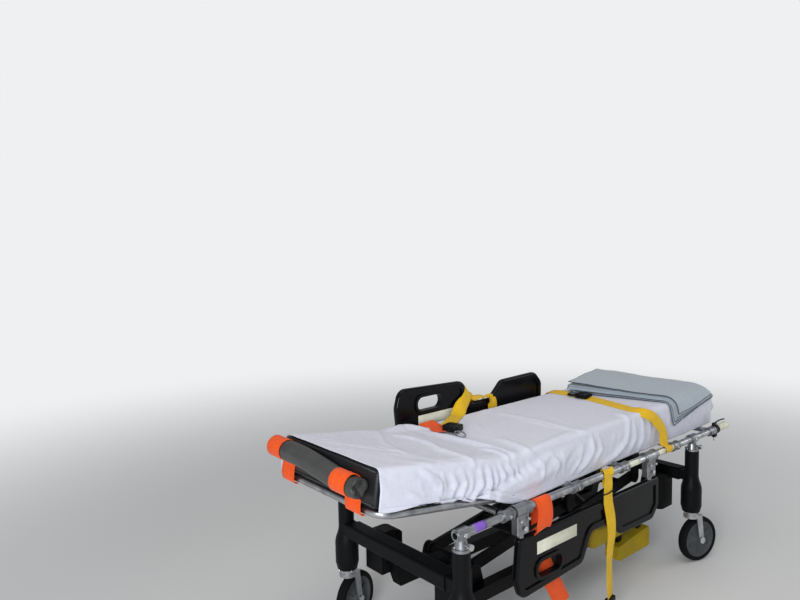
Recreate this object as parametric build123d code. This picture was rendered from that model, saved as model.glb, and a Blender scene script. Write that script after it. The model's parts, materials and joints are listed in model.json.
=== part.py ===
from build123d import *
import os
from math import cos, hypot, radians, sin, tan

# Wheeled ambulance stretcher with a parallelogram lift, a tilting backrest and two folding side arms.
# X runs towards the foot end, Y across, Z up from the floor. The lift is down. Lengths in mm, angles in degrees.

# Clearances
SEAT_GAP = 0.3        # between pieces of different bodies that rest or ride on each other
RUN_GAP = 0.05        # radial, round a running pin or axle
CLAMP_GAP = 0.1       # radial, between a rail and what clamps it
MOVE_GAP = 5.0        # between pieces that move past each other

# Side rails
RAIL_Y = 301.0
RAIL_Z = 560.0
RAIL_R = 13.5
RAIL_WALL = 2.5
RAIL_HEAD_X = -734.5
RAIL_FOOT_X = 1000.0

# Hand grips at the foot end of the rails
GRIP_R = 17.0
GRIP_LENGTH = 78.0
GRIP_OVERHANG = 57.0
GRIP_CHAMFER = 4.0
GRIP_CLAMP_LENGTH = 34.0
GRIP_CLAMP_WALL = 7.0
GRIP_SCREW = (14.0, 12.0)

# Legs: black moulded columns over the castors
LEG_FOOT_X = 732.5
LEG_HEAD_X = -707.5
LEG_BOTTOM_Z = 235.0
LEG_TOP_Z = 508.0
LEG_FOOT_R = 37.0
LEG_LOW_R = 43.5
LEG_TOP_R = 29.0
LEG_TAPER = 26.0
LEG_SHOULDER_Z = 332.0
LEG_NECK_Z = 402.0

# Cross beams between the legs
BEAM_Z = 394.5
BEAM_HEIGHT = 53.0
BEAM_WIDTH = 64.0
BEAM_END_Y = 255.0
BEAM_CORNER = 10.0
SOCKET_SIDE = 5.0

# Castors
WHEEL_R = 100.0
TYRE_WIDTH = 38.0
TYRE_DEPTH = 20.0
TYRE_FLAT = 16.0
TYRE_SHOULDER = 5.0
TRAIL = 41.0
AXLE_R = 6.0
HUB_R = 19.0
HUB_WIDTH = 47.0
WEB_THICKNESS = 9.0
RIM_WALL = 7.0
KINGPIN_R = 8.0
KINGPIN_LENGTH = 40.0
COLLAR_R = 29.0
COLLAR_HEIGHT = 17.0
FORK_PLATE = 4.0
FORK_LEG_WIDTH = 30.0
FORK_SIDE_GAP = 0.5
AXLE_NUT = (10.0, 4.0)

# Low chassis between the legs
CHASSIS_Y = 138.0
CHASSIS_WIDTH = 44.0
CHASSIS_HEIGHT = 50.0
CHASSIS_Z = 220.0
CHASSIS_RISE = 28.5
CHASSIS_FLAT = 90.5
CHASSIS_TUBE_R = 18.0
LUG_INNER_Y = 112.0
LUG_THICKNESS = 12.0
LUG_R = 24.0
LUG_SPREAD = 22.0
HOUSING_LENGTH = 102.0
HOUSING_BOTTOM_Z = 251.0
HOUSING_SIDE_Y = 232.0
HOUSING_CORNER = 26.0

# Lift: two pairs of equal arms that stay parallel
ARM_LENGTH = 560.0
ARM_REST = 8.0
ARM_HEAD_X = -460.0
ARM_FOOT_X = 20.0
ARM_PIVOT_Z = 300.0
ARM_HEIGHT = 46.0
ARM_THICKNESS = 14.0
ARM_Y = 100.0
ARM_TUBE_R = 19.0
ARM_TUBE_WALL = 4.0
ARM_TUBE_SETBACK = 90.0
PIVOT_R = 10.0
HANGER_WIDTH = 60.0
HANGER_DROP = 20.0

# Hydraulic cylinder of the lift, from the chassis to a lever on the foot-end arms
CYL_BASE_AHEAD = 360.0
CYL_BASE_Z = 250.0
CYL_LEVER = 200.0
CYL_LEVER_ANGLE = 30.0
CYL_PIN_R = 6.0
CYL_EYE_R = 17.0
CYL_EYE_WIDTH = 20.0
CYL_EYE_GAP = 1.0
BARREL_R = 22.0
BARREL_LENGTH = 212.0
BARREL_NECK_R = 9.5
BARREL_WALL = 4.5
GLAND_LENGTH = 12.0
PISTON_LENGTH = 8.0
ROD_R = 9.0
ROD_INSIDE = 167.0
LEVER_TUBE = 110.0
LEVER_PLATE = 10.0
LEVER_GAP = 4.0

# Foot pedals on the near side of the chassis
PEDAL_Y = -150.0
PEDAL_FROM_LEG = (382.5, 140.5)
PEDAL_BOTTOM_Z = 80.0
PEDAL_TOP_Z = (142.0, 170.0)
PEDAL_WIDTH = 64.0
PEDAL_CORNER = 10.0
HANGER_INSET = 45.0
PEDAL_HANGER = (28.0, 16.0)
RELEASE_HEAD = (185.0, 231.0, 41.0)
RELEASE_FOOT = (372.0, 212.0, 22.0)
RELEASE_THICKNESS = 22.0

# Top frame
CROSS_X = (-500.0, -128.5, 182.5, 574.5, 900.0)
CROSS_R = 12.0
SLEEVE_R = 18.0
SLEEVE_LENGTH = 46.0
SLEEVE_COLLAR = (20.0, 8.0)
SLEEVE_BOLT = (5.5, 4.0)
STRINGER_Y = 128.0
STRINGER_WIDTH = 30.0
STRINGER_TOP_Z = 590.0
DECK_THICKNESS = 10.0
DECK_X = (-412.0, 985.0)
DECK_HALF_WIDTH = 243.0
DECK_CORNER = 40.0
BRACKET_R = 20.0
BRACKET_LENGTH = 46.0
BRACKET_FOOT_R = 29.0
BRACKET_FOOT_THICKNESS = 9.0
BRACKET_NECK = (23.0, 14.0)
KNOB_R = 10.0
KNOB_LENGTH = 22.0
KNOB_Z = 530.0

# Backrest
BACK_PIVOT_X = -437.5
BACK_PIVOT_Z = 590.0
BACK_REST = 9.0
BACK_LENGTH = 560.0
BACK_TUBE_Y = 250.0
BACK_TUBE_R = 12.5
BACK_CROSS = (110.0, 330.0)
BACK_CROSS_R = 11.0
BACK_BEND_R = 55.0
BACK_EYE_R = 15.0
BACK_EYE_SIDE = 3.0
BACK_DECK_THICKNESS = 3.5
BACK_DECK_START = 28.0
CHEEK_Y = 268.5
CHEEK_THICKNESS = 6.0
CHEEK_R = (17.0, 13.0)

# Mattress, cut back on each side of the backrest's pivot so that it can fold
MATTRESS_HALF_WIDTH = 250.0
MATTRESS_THICKNESS = 124.0
MATTRESS_FOOT_X = 1020.0
MATTRESS_HEAD_LENGTH = 570.0
MATTRESS_CORNER = 30.0
FOLD_MAIN_ANGLE = 40.0
FOLD_HEAD_ANGLE = 36.0
FOLD_TOE = 24.0
FOLD_LIFT = 10.0

# Rolled carry sheet at the head end, with two bands
ROLL_R = 36.0
ROLL_HALF_LENGTH = 245.0
ROLL_LIFT = 98.0
ROLL_CHAMFER = 7.0
BAND_WIDTH = 50.0
BAND_THICKNESS = 2.4
BAND_TUCK = 12.0
BAND_Y = (-160.0, 175.0)

# Side arms: a moulded panel on two knuckles that turn round the rail
PANEL_X = (-463.5, 433.5)
PANEL_INNER = 95.0
PANEL_THICKNESS = 26.0
PANEL_ROUND = 9.0
PANEL_RIM = 27.0
PANEL_END_RIM = 34.0
PANEL_RECESS = 6.0
PANEL_DIP = 191.0
PANEL_DIP_X = (-40.0, 81.5)
HEAD_LOBE = (309.0, 293.0)
HEAD_LOBE_X = -92.0
FOOT_LOBE = (260.0, 264.0)
FOOT_LOBE_X = 156.5
HAND_HOLE_X = (-351.5, -219.5)
HAND_HOLE_D = (207.0, 262.0)
HAND_HOLE_COLLAR = 12.0
KNUCKLE_X = (-430.0, 372.5)
KNUCKLE_LENGTH = 76.0
KNUCKLE_R = 21.0
KNUCKLE_COLLAR = (23.0, 9.0)
KNUCKLE_BLOCK = (60.0, 30.0, 80.0)
ARM_NUT_R = 11.0
ARM_POST_R = 8.0
ARM_POST_DEPTH = 18.0

# Folded blanket on the foot end: corners of the stack in plan, and its flap over the near edge in (x, z)
BLANKET_PLAN = ((506.0, 189.0), (826.0, 243.0), (1012.0, -252.0), (590.0, -252.0))
BLANKET_NEAR_Z = 749.0
BLANKET_FAR_Z = 790.0
BLANKET_FLAP = ((614.0, 748.0), (1010.0, 748.0), (1012.0, 712.0), (668.0, 646.0), (640.0, 650.0))
BLANKET_FLAP_Y = -284.0
BLANKET_ROUND = 12.0

# Straps
WEB_WIDTH = 48.0
WEB_THICK = 2.2
YELLOW_X = 83.5
YELLOW_END_Z = 72.0
KEEPER_Z = 496.0
ORANGE_X = -351.5
ORANGE_TUCK = 82.0
ORANGE_FALL = ((53.0, 250.0), (172.0, 425.0))
FOOT_STRAP_X = (432.0, 443.0)
FOOT_STRAP_RAIL_X = 497.0
FAR_STRAP_X = 22.0
FAR_STRAP_FALL = 70.0
BUCKLE = (56.0, 62.0, 14.0)
BUCKLE_Y = 69.0

# Castor headings: trail direction of each castor about its swivel, the outer two alike
CASTORS = {
    "foot_near": (LEG_FOOT_X, -RAIL_Y, -16.0),
    "foot_far": (LEG_FOOT_X, RAIL_Y, 5.0),
    "head_near": (LEG_HEAD_X, -RAIL_Y, -9.0),
    "head_far": (LEG_HEAD_X, RAIL_Y, 16.0),
}

GRIP_END_X = RAIL_FOOT_X + GRIP_OVERHANG
PEDAL_X = (LEG_FOOT_X - PEDAL_FROM_LEG[0], LEG_FOOT_X - PEDAL_FROM_LEG[1])
HANGER_X = (PEDAL_X[0] + HANGER_INSET, PEDAL_X[1] - HANGER_INSET)
MATTRESS_BOTTOM_Z = STRINGER_TOP_Z + DECK_THICKNESS
MATTRESS_TOP_Z = MATTRESS_BOTTOM_Z + MATTRESS_THICKNESS
ARM_RISE = ARM_LENGTH * sin(radians(ARM_REST))
ARM_REACH = ARM_LENGTH * cos(radians(ARM_REST))
HANGER_Z = ARM_PIVOT_Z + ARM_RISE
CYL_BASE = (ARM_FOOT_X + CYL_BASE_AHEAD, 0.0, CYL_BASE_Z)
CYL_EYE = (
    ARM_FOOT_X + CYL_LEVER * cos(radians(ARM_REST + CYL_LEVER_ANGLE)),
    0.0,
    ARM_PIVOT_Z + CYL_LEVER * sin(radians(ARM_REST + CYL_LEVER_ANGLE)),
)


def rod(start, end, radius, bore=0.0):
    """Round bar or tube from one point to another."""
    axis = Vector(*end) - Vector(*start)
    plane = Plane(origin=start, z_dir=axis)
    bar = extrude(plane * Circle(radius), axis.length)
    if bore:
        bar -= extrude(plane * Circle(bore), axis.length)
    return bar


def block(x, y, z):
    """Box between two values on each axis."""
    size = (x[1] - x[0], y[1] - y[0], z[1] - z[0])
    return Pos(min(x), min(y), min(z)) * Box(*size, align=(Align.MIN,) * 3)


def slab(sketch, y, thickness):
    """Sketch in (x, z) given a thickness about one Y."""
    return extrude(Plane.XZ.offset(-y) * sketch, thickness / 2, both=True)


def bosses(spots, radius):
    """Circles at (x, z) spots joined by their hull."""
    rings = Sketch() + [Pos(x, z) * Circle(radius) for x, z in spots]
    return make_hull(rings.edges())


def both_sides(piece):
    """The piece and its mirror image across the middle."""
    return piece + mirror(piece, Plane.XZ)


def turned(piece, pivot, angle):
    """The piece turned about a pivot's Y axis, so that a positive angle lifts what lies towards the head."""
    return Pos(*pivot) * (Rot(0, angle, 0) * (Pos(*(-value for value in pivot)) * piece))


def leg(x, y):
    """Round moulded column, wide below its shoulder, with the kingpin's bore and a socket for the cross beam."""
    inward = -1 if y > 0 else 1
    outline = Polyline((LEG_LOW_R, LEG_SHOULDER_Z), (LEG_LOW_R, LEG_BOTTOM_Z + LEG_TAPER),
                       (LEG_FOOT_R, LEG_BOTTOM_Z), (0, LEG_BOTTOM_Z), (0, LEG_TOP_Z), (LEG_TOP_R, LEG_TOP_Z),
                       (LEG_TOP_R, LEG_NECK_Z))
    outline += Spline((LEG_LOW_R, LEG_SHOULDER_Z), (LEG_TOP_R, LEG_NECK_Z), tangents=((0, 1), (0, 1)))
    column = revolve(Plane.XZ * make_face(outline.edges()), Axis.Z)
    profile = RectangleRounded(BEAM_WIDTH - 2 * SOCKET_SIDE, BEAM_HEIGHT - 2 * SOCKET_SIDE, BEAM_CORNER - SOCKET_SIDE)
    column += extrude(Plane.XZ * (Pos(0, BEAM_Z) * profile), -inward * (RAIL_Y - BEAM_END_Y))
    column -= Pos(0, 0, LEG_BOTTOM_Z) * Cylinder(KINGPIN_R + RUN_GAP, KINGPIN_LENGTH + MOVE_GAP,
                                                align=(Align.CENTER, Align.CENTER, Align.MIN))
    return Pos(x, y, 0) * column


def cross_beam(x):
    """Moulded beam between the two legs of one end."""
    profile = Pos(x, BEAM_Z) * RectangleRounded(BEAM_WIDTH, BEAM_HEIGHT, BEAM_CORNER)
    return slab(profile, 0, 2 * BEAM_END_Y)


def castor_fork():
    """Swivel collar, kingpin, crown, two side plates and axle. The swivel axis is Z and it trails along X."""
    crown_bottom = 2 * WHEEL_R + MOVE_GAP
    crown_top = LEG_BOTTOM_Z - SEAT_GAP - COLLAR_HEIGHT
    inner = HUB_WIDTH / 2 + FORK_SIDE_GAP
    outer = inner + FORK_PLATE
    nut_r, nut_height = AXLE_NUT
    collar = Pos(0, 0, crown_top) * Cylinder(COLLAR_R, COLLAR_HEIGHT, align=(Align.CENTER, Align.CENTER, Align.MIN))
    collar = chamfer(collar.edges().sort_by(Axis.Z)[-1], 3)
    kingpin = rod((0, 0, crown_top), (0, 0, LEG_BOTTOM_Z + KINGPIN_LENGTH), KINGPIN_R)
    crown_plan = Circle(COLLAR_R + 2) + Pos(TRAIL - 16, 0) * Rectangle(FORK_LEG_WIDTH, 2 * outer)
    crown = extrude(Pos(0, 0, crown_bottom) * make_hull(crown_plan.edges()), crown_top - crown_bottom)
    leg_top = Pos(TRAIL - 18, crown_top - 4) * Rectangle(FORK_LEG_WIDTH, 8)
    side = make_hull((leg_top + Pos(TRAIL, WHEEL_R) * Circle(FORK_LEG_WIDTH / 2 - 2)).edges())
    plates = [slab(side, sign * (inner + FORK_PLATE / 2), FORK_PLATE) for sign in (-1, 1)]
    axle = rod((TRAIL, -outer - nut_height, WHEEL_R), (TRAIL, outer + nut_height, WHEEL_R), AXLE_R)
    nuts = [slab(Pos(TRAIL, WHEEL_R) * RegularPolygon(nut_r, 6), sign * (outer + nut_height / 2), nut_height)
            for sign in (-1, 1)]
    return collar + kingpin + crown + plates + axle + nuts


def castor_tyre():
    """Rubber ring with a flat tread and bevelled shoulders."""
    half = TYRE_WIDTH / 2
    inner = WHEEL_R - TYRE_DEPTH
    side = [(inner, half - 3), (inner + 7, half), (WHEEL_R - TYRE_SHOULDER - 3, half),
            (WHEEL_R - TYRE_SHOULDER / 3, TYRE_FLAT / 2 + 3), (WHEEL_R, TYRE_FLAT / 2 - 3)]
    outline = Polyline(*side, *[(radius, -across) for radius, across in reversed(side)], close=True)
    return revolved_wheel(make_face(outline.edges()))


def castor_hub():
    """Moulded wheel centre with a rim, a thin web and a bored barrel."""
    rim = WHEEL_R - TYRE_DEPTH
    half = TYRE_WIDTH / 2 - 3
    section = Pos(rim - RIM_WALL / 2, 0) * Rectangle(RIM_WALL, 2 * half)
    section += Pos((rim + HUB_R) / 2, 0) * Rectangle(rim - HUB_R, WEB_THICKNESS)
    bore = AXLE_R + RUN_GAP
    section += Pos((HUB_R + bore) / 2, 0) * Rectangle(HUB_R - bore, HUB_WIDTH)
    return revolved_wheel(section)


def revolved_wheel(section):
    """Section in (radius, width) turned round the axle of a castor."""
    ring = revolve(section, Axis.Y)
    return Pos(TRAIL, 0, WHEEL_R) * ring


def placed_castor(piece, corner):
    """A castor piece moved to its corner and turned to its heading."""
    x, y, heading = CASTORS[corner]
    return Pos(x, y, 0) * (Rot(0, 0, heading) * piece)


def chassis():
    """Two dropped side members with corner housings, cross tubes, the lift's lugs and the pedals' hangers."""
    foot_face = LEG_FOOT_X - BEAM_WIDTH / 2
    head_face = LEG_HEAD_X + BEAM_WIDTH / 2
    route = Polyline((head_face, BEAM_Z), (head_face + CHASSIS_RISE, BEAM_Z), (head_face + CHASSIS_FLAT, CHASSIS_Z),
                     (foot_face - CHASSIS_FLAT, CHASSIS_Z), (foot_face - CHASSIS_RISE, BEAM_Z), (foot_face, BEAM_Z))
    frame = both_sides(slab(trace(route, CHASSIS_HEIGHT), CHASSIS_Y, CHASSIS_WIDTH))
    for face, inward in ((foot_face, -1), (head_face, 1)):
        frame += both_sides(corner_housing(face, inward))
    for x in (ARM_HEAD_X, ARM_FOOT_X, CYL_BASE[0]):
        frame += rod((x, -CHASSIS_Y, CHASSIS_Z), (x, CHASSIS_Y, CHASSIS_Z), CHASSIS_TUBE_R)
    for x in (ARM_HEAD_X, ARM_FOOT_X):
        spots = [(x, ARM_PIVOT_Z), (x - LUG_SPREAD, CHASSIS_Z), (x + LUG_SPREAD, CHASSIS_Z)]
        ear = slab(bosses(spots, LUG_R), LUG_INNER_Y + LUG_THICKNESS / 2, LUG_THICKNESS)
        frame += both_sides(ear + stub_pin(x, ARM_PIVOT_Z))
    frame = frame - eye_clearance() + cylinder_fork()
    for x in HANGER_X:
        frame += pedal_hanger(x)
    return frame


def corner_housing(face, inward):
    """Moulded housing between a side member and a leg's beam, over the castor, on the far side."""
    start, end = face + inward * MOVE_GAP, face + inward * HOUSING_LENGTH
    body = block((min(start, end), max(start, end)), (CHASSIS_Y, HOUSING_SIDE_Y), (HOUSING_BOTTOM_Z, BEAM_Z))
    corner = body.edges().filter_by(Axis.Z).sort_by_distance((end, HOUSING_SIDE_Y, BEAM_Z))[0]
    body = fillet(corner, HOUSING_CORNER)
    return chamfer(body.faces().sort_by(Axis.Z)[-1].edges().filter_by(Axis.X), 8)


def stub_pin(x, z):
    """Pin on the far side that carries a lift arm, from its lug to the arm's inner face."""
    return rod((x, LUG_INNER_Y + LUG_THICKNESS, z), (x, ARM_Y - ARM_THICKNESS / 2, z), PIVOT_R)


def eye_clearance():
    """What the cylinder's lower eye needs out of its chassis tube."""
    x, gap = CYL_BASE[0], CYL_EYE_WIDTH / 2 + CYL_EYE_GAP
    return block((x - CYL_EYE_R - MOVE_GAP, x + CYL_EYE_R + MOVE_GAP), (-gap, gap),
                 (CYL_BASE_Z - CYL_EYE_R - MOVE_GAP, CYL_BASE_Z + CYL_EYE_R))


def cylinder_fork():
    """Two cheeks on the chassis tube and the pin for the cylinder's lower eye."""
    x, z = CYL_BASE[0], CYL_BASE_Z
    gap = CYL_EYE_WIDTH / 2 + CYL_EYE_GAP
    cheek = slab(bosses([(x, z), (x, CHASSIS_Z)], CYL_EYE_R), gap + LEVER_PLATE / 2, LEVER_PLATE)
    return both_sides(cheek) + rod((x, -gap, z), (x, gap, z), CYL_PIN_R)


def pedal_hanger(x):
    """Strut from the near side member down into the lift pedal."""
    length, width = PEDAL_HANGER
    return block((x - length / 2, x + length / 2), (PEDAL_Y - width / 2, PEDAL_Y + width / 2),
                 (pedal_top(x) - 4, CHASSIS_Z))


def pedal_top(x):
    """Height of the lift pedal's sloped top above the floor."""
    along = (x - PEDAL_X[0]) / (PEDAL_X[1] - PEDAL_X[0])
    return PEDAL_TOP_Z[0] + along * (PEDAL_TOP_Z[1] - PEDAL_TOP_Z[0])


def lift_pedal():
    """Long yellow tread block, its top sloped up towards the foot end."""
    outline = Polyline((PEDAL_X[0], PEDAL_BOTTOM_Z), (PEDAL_X[1], PEDAL_BOTTOM_Z), (PEDAL_X[1], PEDAL_TOP_Z[1]),
                       (PEDAL_X[0], PEDAL_TOP_Z[0]), close=True)
    tread = slab(fillet(make_face(outline.edges()).vertices(), PEDAL_CORNER), PEDAL_Y, PEDAL_WIDTH)
    for x in HANGER_X:
        tread -= pedal_hanger(x)
    return tread


def release_pedal():
    """Rounded yellow plate of the release pedal, on the near side member's outer face."""
    face = CHASSIS_Y + CHASSIS_WIDTH / 2 + CLAMP_GAP
    rings = [Pos(x, z) * Circle(radius) for x, z, radius in (RELEASE_HEAD, RELEASE_FOOT)]
    plate = slab(make_hull((Sketch() + rings).edges()), -face - RELEASE_THICKNESS / 2, RELEASE_THICKNESS)
    return chamfer(plate.faces().sort_by(Axis.Y)[0].edges(), 5)


def arm_spot(x, distance):
    """Point along a lift arm from its chassis pivot at x, as (x, z), with the lift down."""
    return (x + distance * cos(radians(ARM_REST)), ARM_PIVOT_Z + distance * sin(radians(ARM_REST)))


def lift_arm(x, tubes):
    """A pair of arms from a chassis pivot, joined by cross tubes at the given distances along them."""
    bar = slab(bosses([arm_spot(x, 0), arm_spot(x, ARM_LENGTH)], ARM_HEIGHT / 2), ARM_Y, ARM_THICKNESS)
    pair = both_sides(bar)
    for distance in tubes:
        px, pz = arm_spot(x, distance)
        pair += rod((px, -ARM_Y, pz), (px, ARM_Y, pz), ARM_TUBE_R, ARM_TUBE_R - ARM_TUBE_WALL)
    for distance in (0, ARM_LENGTH):
        px, pz = arm_spot(x, distance)
        pair -= rod((px, -ARM_Y - ARM_THICKNESS, pz), (px, ARM_Y + ARM_THICKNESS, pz), PIVOT_R + RUN_GAP)
    return pair


def foot_arms():
    """The foot-end arms with the lever ears that the cylinder pushes."""
    arms = lift_arm(ARM_FOOT_X, (0, LEVER_TUBE, ARM_LENGTH - ARM_TUBE_SETBACK))
    spots = [(ARM_FOOT_X, ARM_PIVOT_Z), arm_spot(ARM_FOOT_X, LEVER_TUBE), (CYL_EYE[0], CYL_EYE[2])]
    ear = slab(bosses(spots, CYL_EYE_R), CYL_EYE_WIDTH / 2 + LEVER_GAP + LEVER_PLATE / 2, LEVER_PLATE)
    tube_inside = rod((ARM_FOOT_X, -ARM_Y, ARM_PIVOT_Z), (ARM_FOOT_X, ARM_Y, ARM_PIVOT_Z), ARM_TUBE_R - ARM_TUBE_WALL)
    return arms + both_sides(ear) - tube_inside


def along_cylinder(distance):
    """Point on the cylinder's line, measured from its chassis pin."""
    span = Vector(*CYL_EYE) - Vector(*CYL_BASE)
    point = Vector(*CYL_BASE) + span.normalized() * distance
    return (point.X, point.Y, point.Z)


CYL_REST_LENGTH = hypot(CYL_EYE[0] - CYL_BASE[0], CYL_EYE[2] - CYL_BASE[2])


def lift_barrel():
    """Cylinder barrel with its eye on the chassis pin and an open bore for the rod."""
    eye = slab(Pos(CYL_BASE[0], CYL_BASE_Z) * (Circle(CYL_EYE_R) - Circle(CYL_PIN_R + RUN_GAP)), 0, CYL_EYE_WIDTH)
    start = CYL_EYE_R + MOVE_GAP
    end = along_cylinder(BARREL_LENGTH)
    neck = rod(along_cylinder(CYL_EYE_R - 4), along_cylinder(start), BARREL_NECK_R)
    barrel = rod(along_cylinder(start), end, BARREL_R)
    barrel -= rod(along_cylinder(BARREL_LENGTH - ROD_INSIDE - MOVE_GAP), end, BARREL_R - BARREL_WALL)
    gland = rod(along_cylinder(BARREL_LENGTH - GLAND_LENGTH), end, BARREL_R - 1, ROD_R + RUN_GAP)
    return eye + neck + barrel + gland


def lift_rod():
    """Piston rod with its eye between the lever ears, open at the eye."""
    inner = BARREL_LENGTH - ROD_INSIDE
    shaft = rod(along_cylinder(inner), along_cylinder(CYL_REST_LENGTH - CYL_EYE_R + 3), ROD_R)
    piston = rod(along_cylinder(inner), along_cylinder(inner + PISTON_LENGTH), BARREL_R - BARREL_WALL - RUN_GAP)
    eye = slab(Pos(CYL_EYE[0], CYL_EYE[2]) * (Circle(CYL_EYE_R) - Circle(CYL_PIN_R + 2)), 0, CYL_EYE_WIDTH)
    return shaft + piston + eye


def rail(y):
    """Side rail, an open tube."""
    return rod((RAIL_HEAD_X, y, RAIL_Z), (RAIL_FOOT_X, y, RAIL_Z), RAIL_R, RAIL_R - RAIL_WALL)


def rail_ring(x, y, radius, length):
    """Solid round a rail, before the rail's bore is cut."""
    return rod((x - length / 2, y, RAIL_Z), (x + length / 2, y, RAIL_Z), radius)


def rail_bores():
    """What a pair of rails takes out of the pieces clamped round them."""
    return both_sides(rod((RAIL_HEAD_X - 50, RAIL_Y, RAIL_Z), (GRIP_END_X + 50, RAIL_Y, RAIL_Z), RAIL_R + CLAMP_GAP))


def cross_tubes(radius, coped):
    """The five cross tubes, as solids of a given radius, coped to the sleeves or run on through them."""
    tubes = Part()
    for x in CROSS_X:
        tubes += rod((x, -RAIL_Y, RAIL_Z), (x, RAIL_Y, RAIL_Z), radius)
    if coped:
        ends = (CROSS_X[0] - SLEEVE_LENGTH, CROSS_X[-1] + SLEEVE_LENGTH)
        tubes -= both_sides(rod((ends[0], RAIL_Y, RAIL_Z), (ends[1], RAIL_Y, RAIL_Z), SLEEVE_R + CLAMP_GAP))
    return tubes


def rail_sleeves():
    """A collared sleeve on the rail at each end of each cross tube."""
    sleeves = Part()
    collar_r, collar_length = SLEEVE_COLLAR
    for x in CROSS_X:
        side = (SLEEVE_LENGTH - collar_length) / 2
        sleeve = rail_ring(x, RAIL_Y, SLEEVE_R, SLEEVE_LENGTH)
        sleeve += rail_ring(x - side, RAIL_Y, collar_r, collar_length)
        sleeve += rail_ring(x + side, RAIL_Y, collar_r, collar_length)
        sleeves += both_sides(sleeve)
    return sleeves - rail_bores()


def sleeve_bolts():
    """Bolt heads on the outer side of the sleeves."""
    radius, height = SLEEVE_BOLT
    face = RAIL_Y + SLEEVE_R + CLAMP_GAP
    bolts = Part()
    for x in CROSS_X:
        bolts += both_sides(rod((x, face, RAIL_Z), (x, face + height, RAIL_Z), radius))
    return bolts


def top_frame():
    """Two stringers over the cross tubes, the hangers of the lift, and the cheeks and pin of the backrest."""
    frame = both_sides(block((CROSS_X[0] - CROSS_R, CROSS_X[-1] + CROSS_R),
                             (STRINGER_Y - STRINGER_WIDTH / 2, STRINGER_Y + STRINGER_WIDTH / 2),
                             (RAIL_Z, STRINGER_TOP_Z)))
    low = RAIL_Z - HANGER_DROP
    for x in (ARM_HEAD_X + ARM_REACH, ARM_FOOT_X + ARM_REACH):
        plate = block((x - HANGER_WIDTH / 2, x + HANGER_WIDTH / 2), (LUG_INNER_Y, LUG_INNER_Y + LUG_THICKNESS),
                      (low, RAIL_Z + 10))
        plate += slab(bosses([(x, HANGER_Z), (x - 6, low), (x + 6, low)], LUG_R), LUG_INNER_Y + LUG_THICKNESS / 2,
                      LUG_THICKNESS)
        frame += both_sides(plate + stub_pin(x, HANGER_Z))
    cheek = Pos(CROSS_X[0], RAIL_Z) * Circle(CHEEK_R[0]) + Pos(BACK_PIVOT_X, BACK_PIVOT_Z) * Circle(CHEEK_R[1])
    frame += both_sides(slab(make_hull(cheek.edges()), CHEEK_Y + CHEEK_THICKNESS / 2, CHEEK_THICKNESS))
    reach = CHEEK_Y + CHEEK_THICKNESS
    frame += rod((BACK_PIVOT_X, -reach, BACK_PIVOT_Z), (BACK_PIVOT_X, reach, BACK_PIVOT_Z), PIVOT_R)
    return frame - cross_tubes(CROSS_R + CLAMP_GAP, False)


def bracket_neck(x, grown):
    """Tapered neck of a leg bracket on the far side, between its foot and its ring."""
    bottom, top = BRACKET_NECK
    start = LEG_TOP_Z + SEAT_GAP + BRACKET_FOOT_THICKNESS
    return Pos(x, RAIL_Y, start) * Cone(bottom + grown, top + grown, RAIL_Z - start,
                                        align=(Align.CENTER, Align.CENTER, Align.MIN))


def leg_brackets():
    """Cast brackets on the rails, each with a ring, a neck and a round foot that stands on a leg."""
    foot_z = LEG_TOP_Z + SEAT_GAP
    pieces = Part()
    for x in (LEG_FOOT_X, LEG_HEAD_X):
        foot = rod((x, RAIL_Y, foot_z), (x, RAIL_Y, foot_z + BRACKET_FOOT_THICKNESS), BRACKET_FOOT_R)
        pieces += both_sides(foot + bracket_neck(x, 0) + rail_ring(x, RAIL_Y, BRACKET_R, BRACKET_LENGTH))
    return pieces - rail_bores()


def bracket_knobs():
    """Bright clamp knobs on the outer side of each leg bracket."""
    end = RAIL_Y + BRACKET_NECK[0] + KNOB_LENGTH
    knobs = Part()
    for x in (LEG_FOOT_X, LEG_HEAD_X):
        stem = rod((x, RAIL_Y, KNOB_Z), (x, end, KNOB_Z), KNOB_R / 2)
        head = rod((x, end - KNOB_LENGTH / 2, KNOB_Z), (x, end, KNOB_Z), KNOB_R)
        knobs += both_sides(stem + head - bracket_neck(x, CLAMP_GAP))
    return knobs


def hand_grips():
    """Pale hand grips on the foot end of the rails."""
    grip = rod((GRIP_END_X - GRIP_LENGTH, RAIL_Y, RAIL_Z), (GRIP_END_X, RAIL_Y, RAIL_Z), GRIP_R)
    grip = chamfer(grip.edges().filter_by(GeomType.CIRCLE), GRIP_CHAMFER)
    end = RAIL_FOOT_X + CLAMP_GAP
    return both_sides(grip - rod((0, RAIL_Y, RAIL_Z), (end, RAIL_Y, RAIL_Z), RAIL_R + CLAMP_GAP))


def grip_clamps():
    """Black clamps on the rails behind the grips, each with a screw boss below."""
    end = GRIP_END_X - GRIP_LENGTH - CLAMP_GAP
    start = end - GRIP_CLAMP_LENGTH
    radius = RAIL_R + GRIP_CLAMP_WALL
    width, depth = GRIP_SCREW
    clamp = rod((start, RAIL_Y, RAIL_Z), (end, RAIL_Y, RAIL_Z), radius)
    clamp += block((start + 6, end - 6), (RAIL_Y - width / 2, RAIL_Y + width / 2), (RAIL_Z - radius - depth, RAIL_Z))
    return both_sides(clamp) - rail_bores()


def deck():
    """Flat deck with rounded corners under the seat and leg part of the mattress."""
    plate = block(DECK_X, (-DECK_HALF_WIDTH, DECK_HALF_WIDTH), (STRINGER_TOP_Z, MATTRESS_BOTTOM_Z))
    return fillet(plate.edges().filter_by(Axis.Z), DECK_CORNER)


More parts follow.
